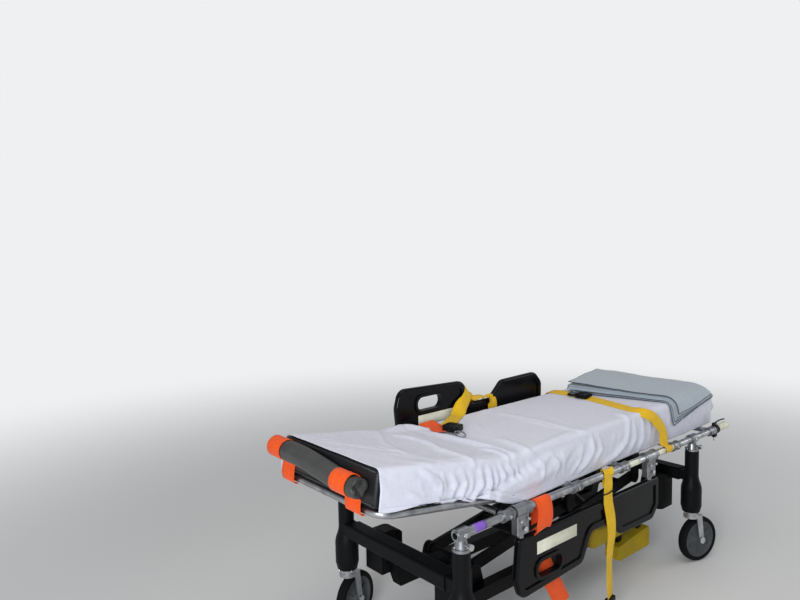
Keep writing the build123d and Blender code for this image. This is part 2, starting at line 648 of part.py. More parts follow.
def backrest_frame():
    """Two side tubes with hinge eyes, joined by cross tubes, at the flat position."""
    z = BACK_PIVOT_Z
    half = BACK_TUBE_R + BACK_EYE_SIDE
    eye = rod((BACK_PIVOT_X, BACK_TUBE_Y - half, z), (BACK_PIVOT_X, BACK_TUBE_Y + half, z), BACK_EYE_R)
    end = BACK_PIVOT_X - BACK_LENGTH + BACK_TUBE_R
    route = FilletPolyline((BACK_PIVOT_X, BACK_TUBE_Y, z), (end, BACK_TUBE_Y, z), (end, -BACK_TUBE_Y, z),
                           (BACK_PIVOT_X, -BACK_TUBE_Y, z), radius=BACK_BEND_R)
    section = Plane(origin=(BACK_PIVOT_X, BACK_TUBE_Y, z), z_dir=(-1, 0, 0)) * Circle(BACK_TUBE_R)
    frame = both_sides(eye) + sweep(section, path=route)
    for distance in BACK_CROSS:
        x = BACK_PIVOT_X - distance
        frame += rod((x, -BACK_TUBE_Y, z), (x, BACK_TUBE_Y, z), BACK_CROSS_R)
    reach = BACK_TUBE_Y + 3 * BACK_TUBE_R
    return frame - rod((BACK_PIVOT_X, -reach, z), (BACK_PIVOT_X, reach, z), PIVOT_R + RUN_GAP)


def backrest_deck():
    """Thin deck plate on the backrest frame, at the flat position."""
    bottom = BACK_PIVOT_Z + BACK_TUBE_R
    return block((BACK_PIVOT_X - BACK_LENGTH, BACK_PIVOT_X - BACK_DECK_START), (-DECK_HALF_WIDTH, DECK_HALF_WIDTH),
                 (bottom, bottom + BACK_DECK_THICKNESS))


def mattress_block(x_from, x_to, bottom, top):
    """Foam block across the mattress's width."""
    return block((x_from, x_to), (-MATTRESS_HALF_WIDTH, MATTRESS_HALF_WIDTH), (bottom, top))


def fold_main_x(z):
    """Slope of the seat part at the fold."""
    return BACK_PIVOT_X + FOLD_TOE + (z - MATTRESS_BOTTOM_Z) * tan(radians(FOLD_MAIN_ANGLE))


def fold_head_x(z, raised):
    """Slope of the head part at the fold, with the backrest raised by an angle from flat."""
    return BACK_PIVOT_X - (z - BACK_PIVOT_Z) * tan(radians(FOLD_HEAD_ANGLE - raised))


def fold_cut(slope, x_off):
    """What the fold takes from a mattress part, between its slope and a plane beyond the fold."""
    low, high = BACK_PIVOT_Z - 1, MATTRESS_TOP_Z + 10
    outline = Polyline((slope(low), low), (slope(high), high), (x_off, high), (x_off, low), close=True)
    return slab(make_face(outline.edges()), 0, 2 * MATTRESS_HALF_WIDTH + 20)


def mattress_main():
    """Seat and leg part of the mattress, cut back at the fold."""
    foam = mattress_block(BACK_PIVOT_X, MATTRESS_FOOT_X, MATTRESS_BOTTOM_Z, MATTRESS_TOP_Z)
    foam = fillet(foam.edges().filter_by(Axis.Z).group_by(Axis.X)[-1], MATTRESS_CORNER)
    return foam - fold_cut(fold_main_x, BACK_PIVOT_X - 10)


def head_bottom():
    """Underside of the head part of the mattress at the flat position."""
    return BACK_PIVOT_Z + BACK_TUBE_R + BACK_DECK_THICKNESS


def mattress_head():
    """Head part of the mattress at the flat position, cut back at the fold."""
    foam = mattress_block(BACK_PIVOT_X - MATTRESS_HEAD_LENGTH, BACK_PIVOT_X, head_bottom(), MATTRESS_TOP_Z)
    foam = fillet(foam.edges().filter_by(Axis.Z).group_by(Axis.X)[0], MATTRESS_CORNER / 2)
    return foam - fold_cut(lambda z: fold_head_x(z, 0), BACK_PIVOT_X + 10)


def mattress_fold():
    """Soft wedge that fills the fold of the mattress at rest."""
    low, high = MATTRESS_BOTTOM_Z + FOLD_LIFT, MATTRESS_TOP_Z
    outline = Polyline((fold_main_x(low) - SEAT_GAP, low), (fold_main_x(high) - SEAT_GAP, high),
                       (fold_head_x(high, BACK_REST) + SEAT_GAP, high), (fold_head_x(low, BACK_REST) + SEAT_GAP, low),
                       close=True)
    return slab(make_face(outline.edges()), 0, 2 * MATTRESS_HALF_WIDTH)


def roll_centre():
    """Middle of the roll against the mattress's head end, at the flat position, as (x, z)."""
    return (BACK_PIVOT_X - MATTRESS_HEAD_LENGTH - ROLL_R - SEAT_GAP, BACK_PIVOT_Z + ROLL_LIFT)


def carry_sheet_roll():
    """Rolled vinyl carry sheet, at the flat position."""
    x, z = roll_centre()
    roll = rod((x, -ROLL_HALF_LENGTH, z), (x, ROLL_HALF_LENGTH, z), ROLL_R - BAND_THICKNESS)
    return chamfer(roll.edges().filter_by(GeomType.CIRCLE), ROLL_CHAMFER)


def roll_bands():
    """Two webbing bands round the roll, tied down to the head tube of the backrest, at the flat position."""
    x, z = roll_centre()
    tube = (BACK_PIVOT_X - BACK_LENGTH + BACK_TUBE_R, BACK_PIVOT_Z)
    outer = bosses([(x, z)], ROLL_R) - bosses([(x, z)], ROLL_R - BAND_THICKNESS + CLAMP_GAP)
    face_x = BACK_PIVOT_X - MATTRESS_HEAD_LENGTH - SEAT_GAP - BAND_THICKNESS / 2
    slip = (ROLL_R - BAND_THICKNESS / 2) * sin(radians(45))
    tail = Polyline((x + slip, z - slip), (face_x, z - ROLL_R - BAND_TUCK), (face_x, tube[1] + BACK_TUBE_R),
                    (tube[0] - BACK_TUBE_R - SEAT_GAP - BAND_THICKNESS / 2, tube[1]))
    bands = Part()
    for y in BAND_Y:
        bands += slab(outer + trace(tail, BAND_THICKNESS), y, BAND_WIDTH)
    return bands


def panel_outline():
    """Two-lobed outline of a side arm panel in (x, distance from the rail's axis)."""
    left, right = PANEL_X
    corners = [
        (left + 14, PANEL_INNER, 12), (left, 236, 60), (left + 22, HEAD_LOBE[0], 44), (HEAD_LOBE_X, HEAD_LOBE[1], 42),
        (PANEL_DIP_X[0], PANEL_DIP, 30), (PANEL_DIP_X[1], PANEL_DIP, 30), (FOOT_LOBE_X, FOOT_LOBE[0], 46),
        (right - 44, FOOT_LOBE[1], 44), (right + 2, 214, 40), (right, PANEL_INNER, 12),
    ]
    face = make_face(Polyline(*[(x, d) for x, d, radius in corners], close=True).edges())
    for x, d, radius in corners:
        corner = face.vertices().sort_by_distance((x, d))[0]
        face = fillet(corner, radius)
    return face


def side_arm_panel():
    """Moulded panel with rounded edges, a recessed field on both faces and a hand hole with a raised collar."""
    outline = panel_outline()
    middle = Pos(sum(HAND_HOLE_X) / 2, sum(HAND_HOLE_D) / 2)
    width = HAND_HOLE_X[1] - HAND_HOLE_X[0]
    height = HAND_HOLE_D[1] - HAND_HOLE_D[0]
    wide, high = width + 2 * HAND_HOLE_COLLAR, height + 2 * HAND_HOLE_COLLAR
    field = offset(outline, -PANEL_RIM, kind=Kind.INTERSECTION) - middle * RectangleRounded(wide, high, high / 2 - 1)
    end = PANEL_X[0] + PANEL_END_RIM
    field &= Pos(end, 0) * Rectangle(PANEL_X[1] - end, 2 * HEAD_LOBE[0], align=(Align.MIN, Align.CENTER))
    panel = slab(outline, 0, PANEL_THICKNESS)
    rims = [edge for face in panel.faces().filter_by(Axis.Y) for edge in face.outer_wire().edges()]
    hole = middle * RectangleRounded(width, height, height / 2 - 1)
    panel = fillet(rims, PANEL_ROUND) - slab(hole, 0, 2 * PANEL_THICKNESS)
    for sign in (-1, 1):
        panel -= slab(field, sign * (PANEL_THICKNESS - PANEL_RECESS) / 2, PANEL_RECESS)
    for x in KNUCKLE_X:
        panel -= rod((x, 0, 0), (x, 0, PANEL_INNER + ARM_POST_DEPTH), ARM_POST_R + CLAMP_GAP)
    return panel


def side_arm_hinges():
    """Collared knuckles round the rail, each with a block, a nut and a post that carries the panel."""
    hinges = Part()
    collar_r, collar_length = KNUCKLE_COLLAR
    length, width, depth = KNUCKLE_BLOCK
    for x in KNUCKLE_X:
        ring = rod((x - KNUCKLE_LENGTH / 2, 0, 0), (x + KNUCKLE_LENGTH / 2, 0, 0), KNUCKLE_R)
        for end in (-1, 1):
            outer = x + end * KNUCKLE_LENGTH / 2
            ring += rod((outer - end * collar_length, 0, 0), (outer, 0, 0), collar_r)
        body = block((x - length / 2, x + length / 2), (-width / 2, width / 2), (0, depth))
        body = fillet(body.edges().filter_by(Axis.Z), 6)
        nut = rod((x, 0, depth), (x, 0, PANEL_INNER - SEAT_GAP), ARM_NUT_R)
        post = rod((x, 0, depth), (x, 0, PANEL_INNER + ARM_POST_DEPTH - SEAT_GAP), ARM_POST_R)
        hinges += ring + body + nut + post
    return hinges - rod((PANEL_X[0] - 50, 0, 0), (PANEL_X[1] + 50, 0, 0), RAIL_R + SEAT_GAP)


def seated_arm(piece, y, down):
    """A side arm piece moved to its rail, raised or hanging."""
    if down:
        piece = Rot(180, 0, 0) * mirror(piece, Plane.XZ)
    return Pos(0, y, RAIL_Z) * piece


def blanket():
    """Folded blanket laid askew, its top sloped down to the near side, with a flap over the mattress's near edge."""
    bottom = MATTRESS_TOP_Z + SEAT_GAP
    plan = make_face(Polyline(*BLANKET_PLAN, close=True).edges())
    stack = extrude(Pos(0, 0, bottom) * plan, BLANKET_FAR_Z - bottom)
    reach = MATTRESS_HALF_WIDTH + 10
    above = Polyline((-reach, BLANKET_NEAR_Z), (reach, BLANKET_FAR_Z), (reach, BLANKET_FAR_Z + 20),
                     (-reach, BLANKET_FAR_Z + 20), close=True)
    stack -= extrude(Plane.YZ * make_face(above.edges()), BLANKET_PLAN[2][0] + 10)
    near = -MATTRESS_HALF_WIDTH - 2 * SEAT_GAP
    flap = slab(make_face(Polyline(*BLANKET_FLAP, close=True).edges()), (near + BLANKET_FLAP_Y) / 2,
                near - BLANKET_FLAP_Y)
    edge = flap.edges().group_by(Axis.Z)[-1].sort_by(Axis.Y)[0]
    return stack + fillet(edge, BLANKET_ROUND)


def web_over_rail(x, width, outer_route, inner_route):
    """Webbing over the top of the near rail: routes go on from the rail's outer and inner side, in (y, z)."""
    y, z = -RAIL_Y, RAIL_Z
    middle = RAIL_R + SEAT_GAP + WEB_THICK / 2
    saddle = ThreePointArc((y - middle, z), (y, z + middle), (y + middle, z))
    line = Polyline(*reversed(outer_route), (y - middle, z)) + saddle + Polyline((y + middle, z), *inner_route)
    strip = trace(line, WEB_THICK)
    return extrude(Plane.YZ.offset(x - width / 2) * strip, width)


def yellow_strap():
    """Yellow webbing looped over the near rail, hanging clear outside the folded arm almost to the floor."""
    middle = RAIL_R + SEAT_GAP + WEB_THICK / 2
    clear = -RAIL_Y - PANEL_THICKNESS / 2 - MOVE_GAP - WEB_THICK
    outer = [(-RAIL_Y - middle, RAIL_Z - 20), (clear, KEEPER_Z), (clear, YELLOW_END_Z)]
    inner = [(-RAIL_Y + middle - 2, RAIL_Z - 24), (clear + WEB_THICK + CLAMP_GAP, KEEPER_Z)]
    return web_over_rail(YELLOW_X, WEB_WIDTH, outer, inner)


def orange_strap():
    """Orange webbing round the near rail that tucks in behind the folded arm and hangs below it."""
    middle = RAIL_R + SEAT_GAP + WEB_THICK / 2
    back = -RAIL_Y + PANEL_THICKNESS / 2 + MOVE_GAP + WEB_THICK
    tuck = RAIL_Z - ORANGE_TUCK
    outer = [(-RAIL_Y - middle, RAIL_Z - 34), (back, tuck)]
    inner = [(-RAIL_Y + middle, RAIL_Z - 24), (back + WEB_THICK + CLAMP_GAP, tuck)]
    loop = web_over_rail(ORANGE_X, WEB_WIDTH, outer, inner)
    fall = [(ORANGE_X, tuck + 1)] + [(ORANGE_X + along, RAIL_Z - drop) for along, drop in ORANGE_FALL]
    return loop + slab(trace(Polyline(*fall), WEB_WIDTH), back, WEB_THICK)


def band(start, end, width, thickness):
    """Flat piece of webbing between two points, its width as near to X as its run allows."""
    run = Vector(*end) - Vector(*start)
    across = Vector(1, 0, 0) - run * (run.X / run.length ** 2)
    plane = Plane(origin=(Vector(*start) + Vector(*end)) / 2, x_dir=across, z_dir=across.cross(run))
    return extrude(plane * Rectangle(width, run.length), thickness / 2, both=True)


def foot_strap():
    """Yellow webbing across the mattress near the foot end, looped round both rails."""
    side = MATTRESS_HALF_WIDTH + SEAT_GAP + WEB_THICK
    top = MATTRESS_TOP_Z + SEAT_GAP + WEB_THICK / 2
    loop_r = RAIL_R + CLAMP_GAP + WEB_THICK
    strap = Part()
    for sign, x, rail_x in ((-1, FOOT_STRAP_X[0], FOOT_STRAP_RAIL_X), (1, FOOT_STRAP_X[1], FOOT_STRAP_X[1])):
        edge = (x, sign * side, top)
        tangent = (rail_x, sign * (RAIL_Y - loop_r + WEB_THICK / 2), RAIL_Z + 4)
        strap += band((x, 0, top), (x, sign * (side + WEB_THICK / 2), top), WEB_WIDTH, WEB_THICK)
        strap += band(edge, tangent, WEB_WIDTH, WEB_THICK)
        strap += rail_ring(rail_x, sign * RAIL_Y, loop_r, WEB_WIDTH)
    return strap - rail_bores()


def foot_buckle():
    """Black buckle of the foot strap, lying on the webbing."""
    z = MATTRESS_TOP_Z + 2 * SEAT_GAP + WEB_THICK + BUCKLE[2] / 2
    case = Pos(FOOT_STRAP_X[1], BUCKLE_Y, z) * Box(*BUCKLE)
    return fillet(case.edges().filter_by(Axis.Z), 8)


def far_strap():
    """Yellow webbing over the dip of the raised arm, its inner end lying towards the mattress."""
    y = RAIL_Y
    half = PANEL_THICKNESS / 2 + SEAT_GAP + WEB_THICK / 2
    dip = RAIL_Z + PANEL_DIP + SEAT_GAP + WEB_THICK / 2
    route = Polyline((MATTRESS_HALF_WIDTH + 3, MATTRESS_TOP_Z + 12), (y - half, dip - 10), (y - half, dip),
                     (y + half, dip), (y + half, dip - FAR_STRAP_FALL))
    return extrude(Plane.YZ.offset(FAR_STRAP_X - WEB_WIDTH / 2) * trace(route, WEB_THICK), WEB_WIDTH)


def pieces():
    """Every piece of the stretcher, by node name."""
    nodes = {"chassis": chassis(), "lift_pedal": lift_pedal(), "release_pedal": release_pedal()}
    for corner, (x, y, heading) in CASTORS.items():
        nodes["leg_" + corner] = leg(x, y)
        nodes["castor_fork_" + corner] = placed_castor(castor_fork(), corner)
        nodes["castor_hub_" + corner] = placed_castor(castor_hub(), corner)
        nodes["castor_tyre_" + corner] = placed_castor(castor_tyre(), corner)
    nodes["cross_beam_foot"] = cross_beam(LEG_FOOT_X)
    nodes["cross_beam_head"] = cross_beam(LEG_HEAD_X)
    nodes["lift_arms_head"] = lift_arm(ARM_HEAD_X, (0, ARM_LENGTH / 2, ARM_LENGTH - ARM_TUBE_SETBACK))
    nodes["lift_arms_foot"] = foot_arms()
    nodes["lift_barrel"] = lift_barrel()
    nodes["lift_rod"] = lift_rod()
    nodes["rail_near"] = rail(-RAIL_Y)
    nodes["rail_far"] = rail(RAIL_Y)
    nodes["cross_tubes"] = cross_tubes(CROSS_R, True)
    nodes["rail_sleeves"] = rail_sleeves()
    nodes["sleeve_bolts"] = sleeve_bolts()
    nodes["top_frame"] = top_frame()
    nodes["leg_brackets"] = leg_brackets()
    nodes["bracket_knobs"] = bracket_knobs()
    nodes["hand_grips"] = hand_grips()
    nodes["grip_clamps"] = grip_clamps()
    nodes["deck"] = deck()
    nodes["mattress_main"] = mattress_main()
    nodes["mattress_fold"] = mattress_fold()
    nodes["blanket"] = blanket()
    nodes["strap_near_yellow"] = yellow_strap()
    nodes["strap_near_orange"] = orange_strap()
    nodes["strap_foot"] = foot_strap()
    nodes["strap_foot_buckle"] = foot_buckle()
    pivot = (BACK_PIVOT_X, 0, BACK_PIVOT_Z)
    for name, piece in (("backrest_frame", backrest_frame()), ("backrest_deck", backrest_deck()),
                        ("mattress_head", mattress_head()), ("carry_sheet_roll", carry_sheet_roll()),
                        ("roll_bands", roll_bands())):
        nodes[name] = turned(piece, pivot, BACK_REST)
    for side, y, down in (("near", -RAIL_Y, True), ("far", RAIL_Y, False)):
        nodes["side_arm_panel_" + side] = seated_arm(side_arm_panel(), y, down)
        nodes["side_arm_hinges_" + side] = seated_arm(side_arm_hinges(), y, down)
    nodes["strap_far"] = far_strap()
    return nodes


os.makedirs("parts", exist_ok=True)
for node, shape in pieces().items():
    export_step(shape, os.path.join("parts", node + ".step"))
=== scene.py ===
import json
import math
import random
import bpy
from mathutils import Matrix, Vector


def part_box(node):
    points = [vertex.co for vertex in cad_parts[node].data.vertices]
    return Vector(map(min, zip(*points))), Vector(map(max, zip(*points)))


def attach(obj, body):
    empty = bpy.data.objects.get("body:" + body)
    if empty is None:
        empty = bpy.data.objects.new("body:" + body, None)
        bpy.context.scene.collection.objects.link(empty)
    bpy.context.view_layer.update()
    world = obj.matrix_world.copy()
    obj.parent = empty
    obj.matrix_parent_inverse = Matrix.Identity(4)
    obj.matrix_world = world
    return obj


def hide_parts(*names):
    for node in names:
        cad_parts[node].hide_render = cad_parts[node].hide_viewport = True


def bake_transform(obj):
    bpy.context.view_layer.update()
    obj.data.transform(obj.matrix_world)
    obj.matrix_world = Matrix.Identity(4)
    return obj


bl_info = {
    "name": "Wheeled stretcher",
    "version": (1, 0, 0),
    "blender": (4, 5, 0),
    "location": "3D View > Sidebar > Stretcher",
    "description": "Covers, straps, wheels, fittings and finishes for a wheeled lifting stretcher",
    "category": "Object",
}

import bmesh
import bpy
import numpy as np
from bpy.props import FloatProperty, FloatVectorProperty, PointerProperty
from mathutils import Matrix, Vector, noise
from mathutils.bvhtree import BVHTree

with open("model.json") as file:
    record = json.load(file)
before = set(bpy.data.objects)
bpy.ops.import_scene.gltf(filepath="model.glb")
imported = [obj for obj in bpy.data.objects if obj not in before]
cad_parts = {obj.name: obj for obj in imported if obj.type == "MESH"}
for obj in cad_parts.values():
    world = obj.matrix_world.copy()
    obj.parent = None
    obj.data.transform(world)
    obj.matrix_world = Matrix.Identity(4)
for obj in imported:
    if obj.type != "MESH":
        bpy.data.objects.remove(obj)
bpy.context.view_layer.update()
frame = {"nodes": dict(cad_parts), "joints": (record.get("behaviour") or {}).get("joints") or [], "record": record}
JOINTS = {joint["name"]: joint for joint in frame["joints"]}
CORNERS = ("foot_near", "foot_far", "head_near", "head_far")
SIDES = (-1, 1)

# Places and sizes of the solids, in metres
PIVOT = Vector(JOINTS["backrest_tilt"]["pos_m"])
REST_TILT = math.radians(9)
MAIN_LOW, MAIN_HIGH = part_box("mattress_main")
RAIL_LOW, RAIL_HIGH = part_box("rail_near")
RAIL_Y = -(RAIL_LOW.y + RAIL_HIGH.y) / 2
RAIL_Z = (RAIL_LOW.z + RAIL_HIGH.z) / 2
RAIL_R = (RAIL_HIGH.z - RAIL_LOW.z) / 2
TOP_Z = MAIN_HIGH.z
HALF_WIDTH = MAIN_HIGH.y
HEAD_X = PIVOT.x - 0.570
FOOT_X = MAIN_HIGH.x
PANEL_Y = RAIL_Y - 0.0155

# Where the legs stand and the side arms' knuckles hold the rail, as the brackets and hinges reach past them
BRACKET_LOW, BRACKET_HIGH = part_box("leg_brackets")
HINGE_LOW, HINGE_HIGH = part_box("side_arm_hinges_near")
LEG_X = (BRACKET_LOW.x + 0.029, BRACKET_HIGH.x - 0.029)
KNUCKLES = (HINGE_LOW.x + 0.038, HINGE_HIGH.x - 0.038)

# The mattress's rounded edge, and how far it bends to each side of the pivot
SHOULDER = 0.016
BEND_REACH = 0.15

# The rolled carry sheet: radius, height over the pivot, its ends and its bands
ROLL_R = 0.036
ROLL_LIFT = 0.098
ROLL_ENDS = (-0.216, 0.245)
BAND_Y = (-0.148, 0.213)

# The sheet: half its flat part, the arc over the mattress's edge, and its greatest half width, with how much less
# that is beside a side arm's knuckle and over what reach
SHEET_FLAT = HALF_WIDTH + 0.0015 - SHOULDER
SHEET_ARC = SHOULDER * math.pi / 2
SHEET_LIMIT = 0.2845
KNUCKLE_ROOM, KNUCKLE_REACH = 0.0092, 0.062

# How far the sheet hangs down along the mattress, as (x, length) points
HEM = [(-1.01, 0.122), (-0.78, 0.130), (-0.60, 0.146), (-0.508, 0.160), (-0.42, 0.172), (-0.40, 0.170),
       (-0.15, 0.157), (0.17, 0.153), (0.50, 0.155), (0.81, 0.152), (1.03, 0.150)]

# The folded blanket: corners of its top, layers, cells along and across a layer, cells in a fold, flat size
BLANKET_TOP = ((0.506, 0.189), (0.820, 0.243), (0.998, -0.262), (0.658, -0.312))
LAYERS, DEEP, ACROSS, FOLD = 4, 30, 46, 6
BLANKET_LONG, BLANKET_WIDE = LAYERS * 0.37, 0.55

# The near yellow strap: behind the rail, down in front of it, and its (height, lean) points
YELLOW_INNER = [(0.0940, -0.2845, 0.505), (0.0925, -0.2850, 0.535)]
YELLOW_FALL = [(0.0575, -0.3185, 0.535), (0.0505, -0.3215, 0.500), (0.0545, -0.3205, 0.457),
               (0.0700, -0.3220, 0.392), (0.0740, -0.3235, 0.331), (0.0665, -0.3220, 0.274),
               (0.0610, -0.3225, 0.214), (0.0620, -0.3225, 0.172), (0.0670, -0.3215, 0.121),
               (0.0705, -0.3215, 0.080)]
YELLOW_LEAN = [(0.08, 0.24), (0.12, 0.16), (0.17, 0.14), (0.214, 0.18), (0.274, 0.06), (0.33, -0.05),
               (0.392, -0.14), (0.457, -0.12), (0.50, -0.08), (0.555, 0.0)]

# The near orange strap, with x from its middle
ORANGE_X = -0.3250
ORANGE_INNER = [(0.012, -0.2830, 0.480), (0.008, -0.2840, 0.520)]
ORANGE_FALL = [(0.003, -0.3200, 0.540), (0.001, -0.3230, 0.515), (-0.007, -0.3245, 0.495),
               (-0.013, -0.3240, 0.478), (-0.014, -0.3215, 0.4715), (-0.014, -0.3175, 0.4690),
               (-0.012, -0.3040, 0.4672), (-0.010, -0.2900, 0.4668), (-0.008, -0.2835, 0.4630),
               (-0.006, -0.2815, 0.450), (0.006, -0.2806, 0.395), (0.034, -0.2804, 0.345),
               (0.054, -0.2804, 0.300), (0.075, -0.2806, 0.262), (0.098, -0.2812, 0.226),
               (0.126, -0.2830, 0.178), (0.154, -0.2850, 0.130)]
ORANGE_LEAN = [(0.13, 0.5), (0.30, 0.34), (0.45, 0.18), (0.49, 0.28), (0.54, 0.0)]

# The foot strap: up the far side, over the top as (x, y), and down the near side
FOOT_FAR = [(0.444, 0.283, 0.585), (0.446, 0.279, 0.650), (0.448, 0.272, 0.700), (0.450, 0.258, 0.722)]
FOOT_TOP = [(0.452, 0.235), (0.462, 0.140), (0.459, 0.077), (0.447, 0.003), (0.425, -0.100),
            (0.405, -0.195), (0.404, -0.226)]
FOOT_NEAR = [(0.416, -0.250, 0.722), (0.447, -0.2655, 0.706), (0.480, -0.272, 0.680), (0.518, -0.276, 0.640),
             (0.527, -0.279, 0.605), (0.521, -0.2835, 0.585)]

# The far yellow strap: over the panel's edge, then (x, y, lift) on the sheet, and its end in the notch
FAR_EDGE = [(0.020, RAIL_Y + 0.0200, 0.712), (-0.012, RAIL_Y + 0.0200, 0.752),
            (-0.044, RAIL_Y + 0.0170, 0.792), (-0.054, RAIL_Y + 0.004, 0.8055),
            (-0.060, RAIL_Y - 0.006, 0.805), (-0.070, PANEL_Y + 0.001, 0.789),
            (-0.094, PANEL_Y - 0.006, 0.768), (-0.128, PANEL_Y - 0.017, 0.753)]
FAR_LAID = [(-0.172, 0.247, 0.008), (-0.205, 0.226, 0.005), (-0.245, 0.202, 0.004), (-0.285, 0.176, 0.006),
            (-0.316, 0.154, 0.011), (-0.334, 0.134, 0.016)]
FAR_END = [(-0.034, RAIL_Y + 0.002, 0.762), (0.000, RAIL_Y - 0.001, 0.768), (0.028, RAIL_Y - 0.003, 0.768),
           (0.054, RAIL_Y - 0.007, 0.762), (0.074, RAIL_Y - 0.0135, 0.750), (0.083, PANEL_Y - 0.001, 0.733),
           (0.084, PANEL_Y - 0.002, 0.700), (0.083, PANEL_Y - 0.004, 0.672)]
FAR_RIM = Vector((0.58, 0, -0.81))

# The orange piece on the sheet by the far side arm, as (x, y, lift)
FAR_ORANGE = [(-0.358, 0.236, 0.010), (-0.358, 0.212, 0.003), (-0.360, 0.185, 0.0), (-0.366, 0.155, 0.001),
              (-0.376, 0.120, 0.004), (-0.384, 0.098, 0.006)]

# Wires and the near strap's keeper, about their own places
BUCKLE_WIRE = [(-0.018, 0.030, 0.004), (-0.026, 0.052, 0.009), (-0.012, 0.068, 0.008), (0.012, 0.066, 0.006),
               (0.022, 0.048, 0.007), (0.016, 0.030, 0.004)]
KEEPER_RING = [(-0.029, -0.0034, 0.001), (0, -0.0040, -0.002), (0.029, -0.0034, 0.002), (0.0315, 0, 0.003),
               (0.029, 0.0034, 0.002), (0, 0.0036, 0.0), (-0.029, 0.0034, 0.001), (-0.0315, 0, 0.001),
               (-0.029, -0.0034, 0.001)]

# Castors, as (radius, height) from the wheel's middle plane
TREAD = [(0.0800, 0.0160), (0.0855, 0.0186), (0.0905, 0.0190), (0.0950, 0.0172), (0.0978, 0.0138),
         (0.0992, 0.0095), (0.0998, 0.0050), (0.0999, 0.0)]
HUB_SIDE = [(0.0061, 0.0235), (0.0130, 0.0235), (0.0185, 0.0215), (0.0205, 0.0120), (0.0300, 0.0060),
            (0.0560, 0.0046), (0.0680, 0.0078), (0.0730, 0.0150), (0.0775, 0.0165), (0.0799, 0.0158)]

# The hand grips' length, and the black clamp behind each, with its start on the rail and its (radius, height)
GRIP_LONG = 0.099
CLAMP_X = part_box("rail_sleeves")[1].x + 0.002
CLAMP = [(RAIL_R + 0.0002, 0.0), (0.0195, 0.0), (0.0205, 0.001), (0.0205, 0.009), (0.0190, 0.011),
         (0.0190, 0.019), (0.0205, 0.021), (0.0205, 0.030), (0.0195, 0.031), (RAIL_R + 0.0002, 0.031)]

# The backdrop, and the soft lights as name, place, target, size, power and colour
BACKDROP = (0.86, 0.87, 0.88, 1.0)
LIGHTS = (
    ("Top softbox", (-0.4, -0.5, 2.9), (0, 0, 0.5), 2.4, 25.0, (1.0, 0.955, 0.91)),
    ("Side softbox", (-3.0, -1.7, 1.45), (0, 0, 0.6), 0.9, 57.0, (0.93, 0.965, 1.0)),
    ("Foot softbox", (2.9, -1.6, 1.6), (0.3, 0, 0.6), 1.4, 12.0, (0.96, 0.98, 1.0)))


# Settings

def colour(name, description, default):
    """A colour property in Blender's linear RGB."""
    return FloatVectorProperty(name=name, description=description, default=default, subtype="COLOR",
                               min=0, max=1)


def length(name, description, default):
    """A length property in metres."""
    return FloatProperty(name=name, description=description, default=default, subtype="DISTANCE",
                         unit="LENGTH")


def angle(name, description, default):
    """An angle property, its default in radians."""
    return FloatProperty(name=name, description=description, default=default, subtype="ANGLE")


class StretcherColours(bpy.types.PropertyGroup):
    """Colours of the stretcher's finishes."""
    black_plastic: colour("Black moulding", "Legs, beams and clamps", (0.0050, 0.0053, 0.0060))
    panel: colour("Side arm panel", "Blow-moulded side arms", (0.0035, 0.0037, 0.0044))
    # This colour also paints the top frame, as painted shade for the shadow it lies in.
    powder: colour("Black powder coat and painted shade", "Chassis and lift arms", (0.0045, 0.0047, 0.0052))
    aluminium: colour("Aluminium", "Rails and tubes", (0.50, 0.51, 0.53))
    casting: colour("Cast alloy", "Brackets, sleeves and knuckles", (0.36, 0.37, 0.385))
    steel: colour("Bright steel", "Bolts, knobs and the piston rod", (0.70, 0.71, 0.73))
    fork: colour("Fork grey", "Castor forks", (0.55, 0.56, 0.58))
    pedal: colour("Pedal yellow", "Lift and release pedals", (0.38, 0.27, 0.012))
    tyre: colour("Tyre", "Castor tyres", (0.0055, 0.0055, 0.0060))
    hub: colour("Hub", "Castor hubs", (0.075, 0.080, 0.085))
    grip: colour("Grip", "Hand grips", (0.68, 0.66, 0.53))
    label: colour("Label", "Blank labels", (0.72, 0.71, 0.58))
    sheet: colour("Sheet", "Cotton sheet", (0.68, 0.69, 0.79))
    blanket: colour("Blanket", "Folded blanket", (0.33, 0.395, 0.455))
    # A darker colour on the blanket's side edges and rims, which draws dark lines along and between its layers.
    blanket_hem: colour("Blanket dark edge", "Darker colour along the blanket's edges", (0.060, 0.085, 0.125))
    vinyl: colour("Vinyl", "Mattress cover", (0.013, 0.0135, 0.015))
    roll: colour("Roll", "Rolled carry sheet", (0.050, 0.050, 0.048))
    yellow: colour("Yellow webbing", "Straps", (0.86, 0.53, 0.010))
    orange: colour("Orange webbing", "Straps and bands", (0.98, 0.105, 0.006))
    tape: colour("Tape", "Marking tape on the near rail", (0.20, 0.10, 0.45))
    floor: colour("Floor", "Floor and backdrop", (0.78, 0.78, 0.77))


class StretcherCloth(bpy.types.PropertyGroup):
    """Sizes of the covers."""
    rest_tilt: angle("Backrest tilt", "Lift of the backrest at rest", REST_TILT)
    tuck: length("End flap", "How far the sheet comes down the foot end", 0.11)
    corner: length("Corner wrap", "How far the sheet's sides wrap round the foot end", 0.035)
    cell: length("Cloth cell", "Edge of a cell of the sheet's grid", 0.0125)
    ply: length("Blanket ply", "Thickness of one layer of the folded blanket", 0.0095)


class StretcherStraps(bpy.types.PropertyGroup):
    """Sizes of the webbing."""
    width: length("Width", "Width of the webbing", 0.048)
    band: length("Band width", "Width of the orange webbing", 0.076)
    thickness: length("Thickness", "Thickness of the webbing", 0.0018)
    hang: length("Hang", "Lower end of the near yellow strap above the floor", 0.075)


